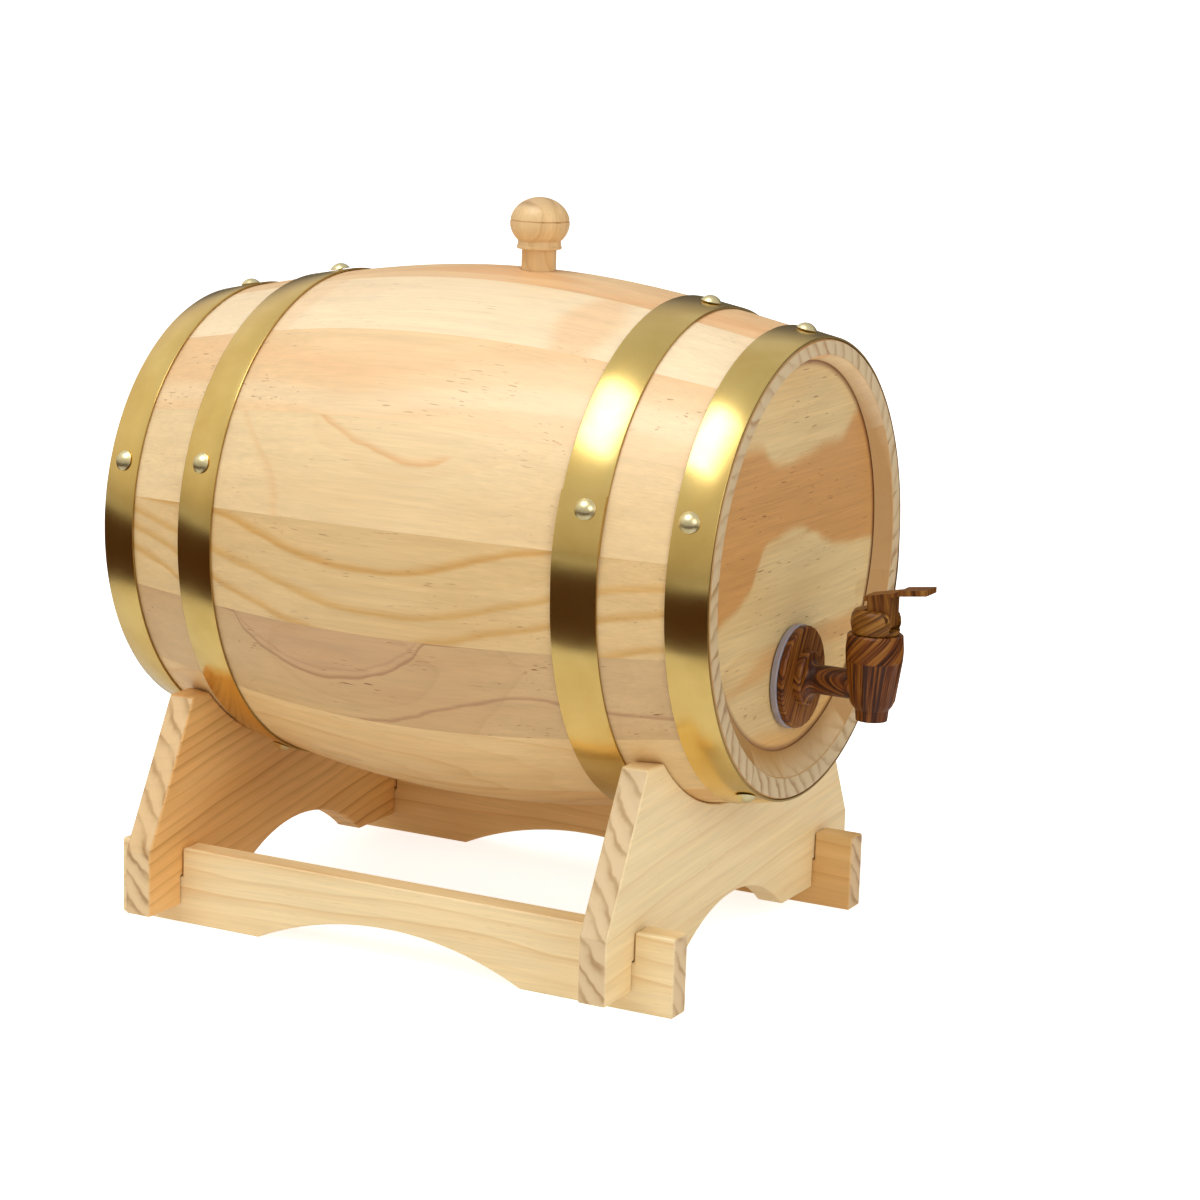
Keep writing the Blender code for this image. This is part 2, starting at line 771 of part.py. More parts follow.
def make_lever(plastic):
    """Paddle, heel and web in one moulding, with trunnions and a pocket for the stem's ball."""
    half = lever_width / 2
    lever = add_object("tap_lever", extruded(lever_outline(), -half, half, "yz"), plastic)
    lever.location = pivot
    reach = half + trunnion_length
    trunnions = turned_along_x(trunnion_radius, -reach, reach, (0, 0, 0))
    tool = add_object("lever_trunnion_tool", trunnions, None)
    tool.location = pivot
    shape_with(lever, tool, "UNION")

    pocket_radius = stem_ball_radius + pocket_slack
    ball_place = Vector((0, pivot_forward, 0))
    pocket = turned_along_x(pocket_radius, -pocket_radius, pocket_radius, ball_place)
    tool = add_object("lever_pocket_tool", pocket, None)
    tool.location = pivot
    shape_with(lever, tool, "DIFFERENCE")

    half_slit = stem_neck_radius + seat_gap
    depth = pivot_height - slot_floor_height + cutter_overrun
    flare = depth * tan(radians(lever_travel))
    rear = pivot_forward + half_slit
    front = pivot_forward - half_slit
    slit_outline = [(rear, 0), (front, 0), (front - flare, -depth), (rear, -depth)]
    slit = extruded(slit_outline, -half_slit, half_slit, "yz")
    tool = add_object("lever_slit_tool", slit, None, smooth=False)
    tool.location = pivot
    shape_with(lever, tool, "DIFFERENCE")
    return lever


def make_valve(plastic, silicone, steel):
    """Stem with its ball in the lever, the seal it lifts, and the spring that closes it."""
    seat = -chamber_floor_depth
    seal_top = seat + seat_gap + seal_thickness
    disc_bottom = seal_top + seat_gap
    disc_top = disc_bottom + stem_disc_thickness
    neck_start = slot_floor_height
    ball_steps = 5
    profile = [
        (0, seal_top - stem_spigot_depth),
        (stem_radius, seal_top - stem_spigot_depth),
        (stem_radius, disc_bottom),
        (stem_disc_radius, disc_bottom),
        (stem_disc_radius, disc_top),
        (stem_radius, disc_top),
        (stem_radius, neck_start - seat_gap),
        (stem_neck_radius, neck_start),
    ]
    first = -acos(stem_neck_radius / stem_ball_radius)
    for step in range(ball_steps + 1):
        turn = first + (pi / 2 - first) * step / ball_steps
        radius = max(0, stem_ball_radius * cos(turn))
        profile.append((radius, pivot_height + stem_ball_radius * sin(turn)))
    stem = add_object("tap_stem", turned(profile, small_round_steps), plastic)

    socket_radius = stem_radius + seat_gap
    socket_floor = seal_top - stem_spigot_depth - seat_gap
    seal_profile = [
        (0, seat + seat_gap),
        (seal_radius, seat + seat_gap),
        (seal_radius, seal_top),
        (socket_radius, seal_top),
        (socket_radius, socket_floor),
        (0, socket_floor),
    ]
    seal = add_object("tap_seal", turned(seal_profile, round_steps), silicone)

    bottom = disc_top + seat_gap + spring_wire_radius
    top = bonnet_plug_bottom - seat_gap - spring_wire_radius
    points_per_turn = 10
    count = spring_turns * points_per_turn
    slope = atan2(top - bottom, 2 * pi * spring_mean_radius * spring_turns)
    rings = []
    for index in range(count + 1):
        turn = 2 * pi * index / points_per_turn
        centre = Vector((cos(turn), sin(turn), 0)) * spring_mean_radius
        centre.z = bottom + (top - bottom) * index / count
        across = Vector((cos(turn), sin(turn), 0))
        upward = Vector((sin(turn) * sin(slope), -cos(turn) * sin(slope), cos(slope)))
        corners = [2 * pi * corner / 6 for corner in range(6)]
        ring = [centre + (across * cos(c) + upward * sin(c)) * spring_wire_radius for c in corners]
        rings.append(ring)
    spring = add_object("tap_spring", loft(rings), steel)
    for piece in (stem, seal, spring):
        piece.location = (0, tap_y, tap_height)


def make_tap(head, plastic, silicone, steel):
    make_tap_body(plastic)
    make_ring(
        "tap_washer_outer", outer_washer_radius, clear_shank_radius, washer_front, washer_back, silicone
    )
    make_ring(
        "tap_washer_inner",
        inner_washer_radius,
        clear_shank_radius,
        inner_washer_start,
        inner_washer_end,
        silicone,
    )
    make_nut(plastic)
    make_bonnet(plastic)
    make_lever(plastic)
    make_valve(plastic, silicone, steel)
    low, high = head_outside - cutter_overrun, head_inside + cutter_overrun
    hole = cylinder(clear_shank_radius, low, high, round_steps, "Y", (0, 0, tap_height))
    shape_with(head, add_object("tap_hole", hole, None), "DIFFERENCE")


def centre_over_footprint():
    """Moves the whole model along Y so that its box is centred on the origin."""
    bpy.context.view_layer.update()
    graph = bpy.context.evaluated_depsgraph_get()
    reaches = []
    for made in bpy.context.scene.objects:
        if made.type == "MESH" and not made.hide_render:
            solid = made.evaluated_get(graph)
            reaches += [(solid.matrix_world @ Vector(corner)).y for corner in solid.bound_box]
    model_root.location.y = -(min(reaches) + max(reaches)) / 2


clear_scene()
model_root = bpy.data.objects.new("model_root", None)
bpy.context.scene.collection.objects.link(model_root)

stave_pine = material("stave_pine", (0.80, 0.62, 0.38), 0.45)
head_pine = material("head_pine", (0.72, 0.50, 0.26), 0.45)
stand_pine = material("stand_pine", (0.83, 0.66, 0.40), 0.50)
hoop_brass = material("hoop_brass", (0.72, 0.56, 0.22), 0.28, 1.0)
tack_brass = material("tack_brass", (0.80, 0.74, 0.50), 0.22, 1.0)
tap_plastic = material("tap_wood_grain_plastic", (0.22, 0.10, 0.03), 0.40)
washer_silicone = material("washer_silicone", (0.50, 0.47, 0.50), 0.55)
spring_steel = material("spring_steel", (0.60, 0.60, 0.62), 0.30, 1.0)

all_staves = make_staves(stave_pine)
front_head = make_head("head_front", -1, head_pine)
make_head("head_rear", 1, head_pine)
make_hoops(all_staves, hoop_brass, tack_brass)
make_bung(all_staves, stave_pine)
make_cradle("cradle_front", -1, stand_pine)
make_cradle("cradle_rear", 1, stand_pine)
make_rail("rail_left", -1, stand_pine)
make_rail("rail_right", 1, stand_pine)
make_tap(front_head, tap_plastic, washer_silicone, spring_steel)
centre_over_footprint()
print("model moved along Y by", round(model_root.location.y, 6))
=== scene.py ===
import json
from math import acos, asin, atan2, ceil, cos, pi, radians, sin, sqrt

import bmesh
import bpy
from mathutils import Euler, Matrix, Vector


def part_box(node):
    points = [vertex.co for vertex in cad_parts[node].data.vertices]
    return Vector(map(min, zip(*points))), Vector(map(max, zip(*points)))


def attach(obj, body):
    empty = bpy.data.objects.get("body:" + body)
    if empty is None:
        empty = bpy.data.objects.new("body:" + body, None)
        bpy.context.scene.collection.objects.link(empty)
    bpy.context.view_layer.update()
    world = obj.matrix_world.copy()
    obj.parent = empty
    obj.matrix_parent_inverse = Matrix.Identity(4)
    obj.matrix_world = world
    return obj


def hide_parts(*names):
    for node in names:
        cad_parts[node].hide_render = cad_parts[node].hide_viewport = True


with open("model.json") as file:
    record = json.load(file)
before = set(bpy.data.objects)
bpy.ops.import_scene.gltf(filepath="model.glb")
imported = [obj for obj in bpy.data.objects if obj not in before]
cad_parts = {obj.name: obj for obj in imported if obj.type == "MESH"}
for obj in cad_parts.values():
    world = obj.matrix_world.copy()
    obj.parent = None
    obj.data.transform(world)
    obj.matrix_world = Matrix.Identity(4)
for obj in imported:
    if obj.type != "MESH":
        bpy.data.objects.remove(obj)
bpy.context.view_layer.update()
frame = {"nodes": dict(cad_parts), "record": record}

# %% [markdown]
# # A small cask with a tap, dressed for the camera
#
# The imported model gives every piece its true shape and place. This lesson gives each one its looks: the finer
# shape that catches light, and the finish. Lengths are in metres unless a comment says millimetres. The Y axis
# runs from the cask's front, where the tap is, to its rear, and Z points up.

# %% [markdown]
# ## Two small tools for finishes
#
# Colours are easiest to pick as they look on a screen, which is sRGB. Blender's sockets want linear light, so one
# function turns one into the other. A finish is a tree of nodes. One function adds a node, sets it and joins it
# up, which keeps a long tree readable.

# %% Colours and nodes
def colour(code):
    """Linear red, green, blue and alpha of an sRGB hex colour."""
    parts = [int(code[at : at + 2], 16) / 255 for at in (1, 3, 5)]
    return tuple(c / 12.92 if c <= 0.04045 else ((c + 0.055) / 1.055) ** 2.4 for c in parts) + (1.0,)


def add_node(tree, kind, links=None, out=0, stops=None, blend="LINEAR", **settings):
    """Adds a node. links fills its inputs with values or other nodes' outputs, stops are a ramp's colours."""
    made = tree.nodes.new("ShaderNode" + kind)
    for name, value in settings.items():
        setattr(made, name, value)
    if stops:
        ramp = made.color_ramp
        ramp.interpolation = blend
        ramp.elements.remove(ramp.elements[1])
        for index, (position, tone) in enumerate(stops):
            stop = ramp.elements[0] if index == 0 else ramp.elements.new(position)
            stop.position = position
            stop.color = tone if isinstance(tone, tuple) else (tone, tone, tone, 1)
    for name, value in (links or {}).items():
        if isinstance(value, bpy.types.NodeSocket):
            tree.links.new(value, made.inputs[name])
        else:
            made.inputs[name].default_value = value
    return made.outputs[out] if made.outputs else made


def maths(tree, operation, *values):
    """A sum of values, which fill the node's inputs in order."""
    return add_node(tree, "Math", dict(enumerate(values)), operation=operation)


def remap(tree, value, low, high, to_low=0, to_high=1, **settings):
    """Carries value from the span low to high over to the span to_low to to_high."""
    links = {"Value": value, "From Min": low, "From Max": high, "To Min": to_low, "To Max": to_high}
    return add_node(tree, "MapRange", links, **settings)


def mix_tone(tree, share, first, second, blend_type="MIX"):
    """A colour on the way from first to second."""
    return add_node(tree, "Mix", {0: share, 6: first, 7: second}, out=2, data_type="RGBA", blend_type=blend_type)


def drawn_out(tree, place, offset, scale, detail, **inputs):
    """Noise stretched along the grain. scale says how many patches one unit of each axis holds."""
    moved = add_node(tree, "Mapping", {"Vector": place, "Location": offset, "Scale": scale})
    return add_node(tree, "TexNoise", {"Vector": moved, "Scale": 1.0, "Detail": detail, **inputs})


def new_finish(name):
    """An empty material and its tree."""
    finish = bpy.data.materials.new(name)
    finish.use_nodes = True
    finish.node_tree.nodes.clear()
    return finish, finish.node_tree


print("pale pine in linear light:", [round(c, 3) for c in colour("#F2D4A6")])

# %% [markdown]
# ## Pine, planed and lacquered
#
# The cask's staves, its heads and its stand are pine boards. A board shows three things: growth rings, which are
# pale and soft in spring and end in a narrow darker line in summer; broad areas of pale sapwood and warmer
# heartwood; and short dark dashes where resin canals were cut open. An image could show them, but it would
# stretch over curved faces and stop at the edges. This finish is solid instead: it is worked out at each point of
# the wood, so faces, edges and end grain agree as on a real board.
#
# Rings are shells about a long ellipsoid, whose middle and stretch differ from board to board. Where one strong
# line decides how a board looks, it is drawn as a band between two curves.

# %% The pine finish
SPAN = 260.0  # mm that a drawn curve covers, along and across the board
EDGE_SHADE_WIDTH = 0.0028  # width of the painted shade at the edge of a head


def curve_height(tree, along, points):
    """Height in mm of a curve through (along, across) points in mm, as a node's output."""
    stops = [(a / SPAN + 0.5, c / SPAN + 0.5) for a, c in points]
    share = remap(tree, along, -SPAN / 2, SPAN / 2)
    lift = add_node(tree, "ValToRGB", {"Fac": share}, stops=stops, blend="CARDINAL")
    return remap(tree, lift, 0, 1, -SPAN / 2, SPAN / 2)


def band(tree, along, across, wander, lower, upper, soft):
    """One between the lower and the upper curve and zero outside them. soft gives each edge's fade in mm."""
    moved = maths(tree, "ADD", across, wander)
    share = None
    for points, fade, side in ((lower, soft[0], 1), (upper, soft[1], -1)):
        height = curve_height(tree, along, points)
        past = maths(tree, "SUBTRACT", moved, height)
        edge = remap(tree, past, -side * fade / 2, side * fade / 2, interpolation_type="SMOOTHSTEP")
        share = edge if share is None else maths(tree, "MULTIPLY", share, edge)
    return share


def wander_small(tree, board, seed):
    """A gentle waver of a drawn edge, well under a millimetre either way."""
    waver = drawn_out(tree, board, (seed, seed * 2, 0), (0.12, 0.035, 0.12), 3.0)
    return remap(tree, waver, 0.3, 0.7, -0.7, 0.7, clamp=False)


def lacquered_pine(
    name, at, turn, rings, tones, lines, flecks, seed, waver=4.0, bands=(), width_axis="X",
    end_stripes=(0.12, 0.0, 0.1), bevel=None, rim=None, grain=0.055, fleck_tone="#96643C",
):
    """A board's finish. at and turn give its own axes: Y along the grain, X or Z across its face, in mm.

    rings is the ring shells' middle (three numbers in mm), their stretch along the grain and their spacing in
    mm. tones are spring wood, summer line, heartwood and end grain. bands are (colour, share, lower curve, upper
    curve, (lower fade, upper fade)), with a True at the end where the curves run across the board. end_stripes
    says which way and how closely the end grain is striped. bevel is the tone of a stave's inner bevel. rim is
    (middle, radius in m, tone) of a painted shade at the edge of a head, where the head meets the staves. waver is
    the rings' wander in mm, grain the depth of the fibres, and fleck_tone the colour of the resin canals."""
    finish, tree = new_finish(name)
    spring, summer, heart, end_tone = (colour(code) for code in tones)
    place = add_node(tree, "TexCoord", out="Object")
    board = add_node(
        tree, "Mapping", {"Vector": place, "Location": at, "Rotation": turn, "Scale": (0.001,) * 3},
        vector_type="TEXTURE",
    )
    # Slow wander that bends rings and drawn edges: about 25 mm across the grain and 90 mm along it
    bend = drawn_out(tree, board, (seed * 7.3, seed * 3.1, 0), (0.04, 0.011, 0.04), 2.0, Roughness=0.45)
    wander = remap(tree, bend, 0.3, 0.7, -waver, waver, clamp=False)
    shells = add_node(
        tree, "Mapping", {"Vector": board, "Location": rings[:3], "Scale": (1, rings[3], 1)}, vector_type="TEXTURE"
    )
    reach = add_node(tree, "VectorMath", {0: shells}, out="Value", operation="LENGTH")
    bent = maths(tree, "ADD", reach, wander)
    phase = maths(tree, "MULTIPLY_ADD", bent, 1 / rings[4], seed)
    share = maths(tree, "FRACT", phase)
    number = maths(tree, "FLOOR", phase)
    chance = add_node(tree, "TexWhiteNoise", {"W": number}, noise_dimensions="1D")
    # Spring wood darkens slowly towards the summer line and starts again sharply
    line = add_node(
        tree, "ValToRGB", {"Fac": share},
        stops=[(0, 0.1), (0.06, 0), (0.5, 0.08), (0.8, 0.5), (0.93, 1), (0.98, 0.9), (1, 0.1)],
    )
    strong = remap(tree, chance, 0, 1, 0.15 * lines, lines)
    ring_share = maths(tree, "MULTIPLY", line, strong)
    # Heartwood tone, in patches about 60 mm across the grain and 200 mm along it
    broad = add_node(
        tree, "Mapping", {"Vector": board, "Location": (seed * 11.9, seed * 5.7, 2), "Scale": (0.03, 0.008, 0.03)},
    )
    cloud = add_node(tree, "TexNoise", {"Vector": broad, "Scale": 1.0, "Detail": 3.0})
    heart_share = remap(tree, cloud, 0.42, 0.68, 0, 0.75)
    tone = mix_tone(tree, heart_share, spring, heart)
    tone = mix_tone(tree, ring_share, tone, summer)
    axes = tree.nodes.new("ShaderNodeSeparateXYZ")
    tree.links.new(board, axes.inputs[0])
    for code, amount, lower, upper, soft, *crosswise in bands:
        along, across = axes.outputs["Y"], axes.outputs[width_axis]
        if crosswise:
            along, across = across, along
        drawn = band(tree, along, across, wander_small(tree, board, seed), lower, upper, soft)
        drawn = maths(tree, "MULTIPLY", drawn, amount)
        tone = mix_tone(tree, drawn, tone, colour(code))
    # Fibres about 0.4 mm wide, which is as fine as the picture can show
    fibre = drawn_out(tree, board, (seed, 0, seed), (1.3, 0.03, 1.3), 3.0, Roughness=0.6)
    shade = remap(tree, fibre, 0.3, 0.7, 1 - grain, 1 + grain)
    # Soft streaks about 4 mm wide, where the wood grew faster or slower
    streak = drawn_out(tree, board, (seed * 4.1, 0, seed), (0.26, 0.012, 0.26), 2.0, Distortion=0.3)
    glow = remap(tree, streak, 0.3, 0.7, 0.95, 1.045)
    shade = maths(tree, "MULTIPLY", shade, glow)
    tone = mix_tone(tree, 1.0, tone, shade, "MULTIPLY")
    # Resin canals: dashes 0.4 mm wide and 5 mm long, thick in some places and absent in others
    canal = drawn_out(tree, board, (seed * 2.7, seed, 5), (1.5, 0.12, 1.5), 1.0)
    canal_share = remap(tree, canal, 0.67, 0.74)
    where = add_node(tree, "TexNoise", {"Vector": broad, "Scale": 3.1, "Detail": 0.0})
    some = remap(tree, where, 0.48, 0.62, 0, flecks)
    canal_share = maths(tree, "MULTIPLY", canal_share, some)
    tone = mix_tone(tree, canal_share, tone, colour(fleck_tone))
    # End grain: greyer, with rings that cross the board's thickness at a slant
    facing = add_node(tree, "TexCoord", out="Normal")
    grain_way = Euler(turn).to_matrix() @ Vector((0, 1, 0))
    ends = add_node(tree, "VectorMath", {0: facing, 1: tuple(grain_way)}, out="Value", operation="DOT_PRODUCT")
    ends = maths(tree, "ABSOLUTE", ends)
    if bevel:
        on_bevel = add_node(tree, "ValToRGB", {"Fac": ends}, stops=[(0.5, 0), (0.62, 0.85), (0.8, 0.85), (0.9, 0)])
        tone = mix_tone(tree, on_bevel, tone, colour(bevel))
    low = 0.8 if bevel else 0.55
    ends = remap(tree, ends, low, 0.92, interpolation_type="SMOOTHSTEP")
    slant = add_node(tree, "VectorMath", {0: board, 1: end_stripes}, out="Value", operation="DOT_PRODUCT")
    uneven = drawn_out(tree, board, (seed, seed, seed), (0.07, 0.03, 0.07), 3.0)
    slant = maths(tree, "MULTIPLY_ADD", uneven, 1.5, slant)
    slant = maths(tree, "FRACT", slant)
    late = mix_tone(tree, 0.6, summer, colour("#7E5C3A"))
    end_share = add_node(
        tree, "ValToRGB", {"Fac": slant}, stops=[(0, 0.05), (0.3, 0), (0.6, 0.25), (0.82, 1), (0.9, 0.9), (1, 0.05)],
    )
    end_line = mix_tone(tree, end_share, end_tone, late)
    end_depth = remap(tree, uneven, 0.35, 0.6, 0.25, 0.85)
    end_line = mix_tone(tree, end_depth, end_tone, end_line)
    tone = mix_tone(tree, ends, tone, end_line)
    # Painted shade: a dark brown ring at the head's edge, in the crease where the head meets the staves' bevel
    if rim:
        reach = add_node(tree, "VectorMath", {0: place, 1: rim[0]}, out="Value", operation="DISTANCE")
        head_edge_shade = remap(tree, reach, rim[1] - EDGE_SHADE_WIDTH, rim[1], 0, 0.8, interpolation_type="SMOOTHSTEP")
        tone = mix_tone(tree, head_edge_shade, tone, colour(rim[2]))
    height = maths(tree, "SUBTRACT", fibre, canal_share)
    bump = add_node(tree, "Bump", {"Height": height, "Strength": 0.25, "Distance": 0.0003})
    rough = remap(tree, fibre, 0.3, 0.7, 0.42, 0.55)
    surface = add_node(
        tree, "BsdfPrincipled",
        {
            "Base Color": tone, "Roughness": rough, "Normal": bump, "IOR": 1.5, "Coat Weight": 0.12,
            "Coat Roughness": 0.3,
        },
    )
    add_node(tree, "OutputMaterial", {"Surface": surface})
    return finish


# %% [markdown]
# ## The cask's measures
#
# The staves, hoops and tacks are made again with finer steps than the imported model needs, so their own measures
# come first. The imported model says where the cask's middle lies.

# %% Measures of the cask
stave_low, stave_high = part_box("stave_01")
cask_middle = (stave_low[1] + stave_high[1]) / 2
axis_height = 0.1470
half_length = 0.125
bilge_radius = 0.0994
front_rim_radius = 0.0828
rear_rim_radius = 0.0811
shoulder_drop = 0.0045
stave_count = 16
stave_angle = 360 / stave_count
first_joint = 9.0


def outer_radius(y):
    """The cask's outside radius at y from its middle: widest at the bilge, and falling to the rims."""
    share = (y / half_length) ** 2
    rim = front_rim_radius if y < 0 else rear_rim_radius
    return bilge_radius - (bilge_radius - rim) * share - shoulder_drop * share * (1 - share)


def around(angle, radius, y):
    """A point about the cask's axis. Angles are degrees from straight up, towards +X."""
    turn = radians(angle)
    return Vector((radius * sin(turn), cask_middle + y, axis_height + radius * cos(turn)))


def off_centre(radius, rise, angle):
    """Distance from the cask's axis to a circle whose middle lies above it by rise."""
    turn = radians(angle)
    return rise * cos(turn) + sqrt(radius**2 - (rise * sin(turn)) ** 2)


print("cask middle at y =", round(cask_middle, 5), "bilge diameter", 2 * bilge_radius)

# %% [markdown]
# ## Making and placing pieces
#
# A piece is skinned over rings of points, like a boat's hull over its ribs. Every piece then rides on its body
# and stands for its imported node. Edges sharper than about 30 degrees stay crisp and the rest is shaded smooth.

# %% Helpers for pieces
body_of = {name: body for body, names in frame["record"]["behaviour"]["bodies"].items() for name in names}


def skin(rings, closed=False):
    """A bmesh over rings of equally many points. An open run gets an end face at both ends."""
    shape = bmesh.new()
    rows = [[shape.verts.new(point) for point in ring] for ring in rings]
    pairs = list(zip(rows, rows[1:])) + ([(rows[-1], rows[0])] if closed else [])
    for first, second in pairs:
        for at in range(len(first)):
            after = (at + 1) % len(first)
            shape.faces.new((first[at], first[after], second[after], second[at]))
    if not closed:
        shape.faces.new(rows[0])
        shape.faces.new(rows[-1])
    return shape


def turned(profile, steps, frame_matrix=Matrix.Identity(4)):
    """Revolves a closed (radius, height) profile about its own Z axis, then places it."""
    rings = []
    for step in range(steps):
        turn = 2 * pi * step / steps
        rings.append([frame_matrix @ Vector((r * cos(turn), r * sin(turn), h)) for r, h in profile])
    return skin(rings, closed=True)


def placed(name, shape, finish=None):
    """Puts a bmesh in the scene as an object."""
    mesh = bpy.data.meshes.new(name)
    shape.to_mesh(mesh)
    shape.free()
    if finish:
        mesh.materials.append(finish)
    made = bpy.data.objects.new(name, mesh)
    bpy.context.scene.collection.objects.link(made)
    return made


def close_up(shape):
    """Joins points that coincide and turns every face outwards."""
    bmesh.ops.remove_doubles(shape, verts=shape.verts, dist=1e-6)
    bmesh.ops.recalc_face_normals(shape, faces=shape.faces)


def finish_piece(node, shape, finish, sharp=30):
    """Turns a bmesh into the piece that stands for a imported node."""
    close_up(shape)
    piece = placed(node + "_finished", shape, finish)
    piece.data.shade_smooth()
    piece.data.set_sharp_from_angle(angle=radians(sharp))
    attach(piece, body_of[node])
    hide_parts(node)
    return piece


def eased_copy(node, finish, width, sharp=30):
    """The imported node's own shape, its flats made whole and its arrises rounded off by width."""
    shape = bmesh.new()
    shape.from_mesh(frame["nodes"][node].data)
    bmesh.ops.remove_doubles(shape, verts=shape.verts, dist=1e-6)
    bmesh.ops.dissolve_limit(shape, angle_limit=radians(0.5), verts=shape.verts, edges=shape.edges)
    piece = finish_piece(node, shape, finish, sharp)
    ease = piece.modifiers.new("eased arrises", "BEVEL")
    ease.width = width
    ease.segments = 2
    ease.limit_method = "ANGLE"
    ease.angle_limit = radians(sharp)
    ease.harden_normals = True
    return piece


# %% [markdown]
# ## Staves
#
# Sixteen staves make the cask. Each was sawn to the bulged shape from a straight board, so the rings show as long
# arcs where the bulge cuts through them. Neighbours come from different boards: the tone changes at each joint,
# and the joint itself hardly shows, because the staves are glued and sanded as one. So the joint gap here is
# only two hundredths of a millimetre. The table gives each stave its own board.

# %% Stave boards
END_TONE = "#D2BA92"
stave_boards = {
    # ring middle, stretch, spacing, (spring, summer, heart), lines, flecks
    1: ((6, 20, 70), 3.0, 6.0, ("#F0D2A2", "#D2A468", "#EDC695"), 0.4, 0.2),
    2: ((-30, -40, 90), 3.5, 7.0, ("#F2D8AE", "#D9B07A", "#EBC696"), 0.3, 0.3),
    3: ((4, 30, 60), 3.0, 6.0, ("#EBC894", "#C99B5C", "#E6BC86"), 0.6, 0.4),
    4: ((26, 0, 95), 2.6, 9.0, ("#EFCFA0", "#D0A062", "#E8C090"), 0.5, 0.2),
    5: ((-8, -50, 64), 3.2, 6.0, ("#E8C796", "#C49660", "#E2B582"), 0.5, 0.5),
    6: ((-24, 10, 92), 3.0, 8.0, ("#F0D3A4", "#D6AC6C", "#E9C492"), 0.4, 0.2),
    7: ((10, 40, 70), 2.8, 7.0, ("#ECCB98", "#CBA066", "#E6BD88"), 0.5, 0.3),
    8: ((-5, -20, 60), 3.4, 6.0, ("#E9C995", "#C99C60", "#E4BA85"), 0.5, 0.3),
    # Stave 9 lies under the cask: its darker, more orange tones are painted shade and warm bounce light
    9: ((20, 0, 90), 3.0, 7.0, ("#E4BC7C", "#C4904A", "#DAA866"), 0.5, 0.2),
    10: ((-14, 30, 92), 3.0, 9.0, ("#E4C38C", "#CA9A54", "#DCB276"), 0.4, 0.2),
    11: ((8, 18, 116), 1.7, 9.0, ("#D0AE7C", "#AC8052", "#C89E6C"), 0.2, 1.0),
    12: ((40, 0, 100), 2.6, 12.0, ("#E0BF88", "#C99C4C", "#D9B378"), 0.14, 0.5),
    13: ((30, -12, 100), 1.7, 14.0, ("#EDD09E", "#D6A05C", "#E7C590"), 0.12, 0.35),
    14: ((30, 60, 100), 3.4, 10.0, ("#F1CE9B", "#E0AE74", "#ECC18C"), 0.25, 0.7),
    15: ((0, -20, 60), 3.0, 12.0, ("#FAE2BA", "#EDC892", "#F7D8AC"), 0.12, 0.3),
    16: ((12, 10, 66), 3.0, 8.0, ("#F2CE9C", "#D99C5E", "#EDB880"), 0.5, 0.2),
}
# Strong lines and patches that decide how the boards beside the camera look. Curves are (along, across) in mm.
arc_13_low = [(-40, 16), (-32, 11), (-24, 6.4), (-17, 4.4), (-7, 4.6), (5, 8.2), (15, 11.2), (28, 17.6), (40, 24)]
arc_13_high = [(-40, 2), (-32, 7), (-24, 7.6), (-17, 6.2), (-7, 6.6), (5, 10), (15, 12.6), (28, 19.4), (40, 26)]
line_12a = [(-68, 18.2), (-50, 14.3), (-30, 9), (-10, 5.6), (5, 4.8), (20, 5.6), (40, 9.8), (55, 14.3), (70, 17.6)]
line_12b = [
    (-110, 9.1), (-90, 6.2), (-68, 2), (-45, -4.7), (-20, -9.9), (0, -10.5), (20, -8.2), (45, -2.1), (70, 3.7),
    (92, 8.2), (112, 13),
]
line_12c = [
    (-110, -0.5), (-68, -7.8), (-40, -14.8), (-20, -19.5), (0, -22), (25, -19.5), (45, -14.8), (70, -6.9), (88, -0.4),
    (112, 7),
]
line_12d = [(-112, -12.5), (-88, -17), (-60, -24), (60, -24), (88, -10), (112, -1.2)]
arc_11 = [
    (-22, 19.5), (-17, 13.4), (-8, 7.4), (5, 2.2), (18, -0.4), (30, -0.4), (42, 2.9), (52, 7.9), (58, 12.8),
    (61, 18.5),
]
line_11 = [
    (-112, -7.4), (-95, -5.8), (-85, -3.9), (-68, -1.4), (-58, 0), (-45, -2.1), (-30, -6.1), (-15, -11.7),
    (-5, -15.3), (5, -18), (15, -20),
]


def ribbon(tone, share, points, below, above, soft):
    """A band that follows one curve, from below to above it in mm."""
    lower, upper = ([(a, c + lift) for a, c in points] for lift in (below, above))
    return tone, share, lower, upper, soft


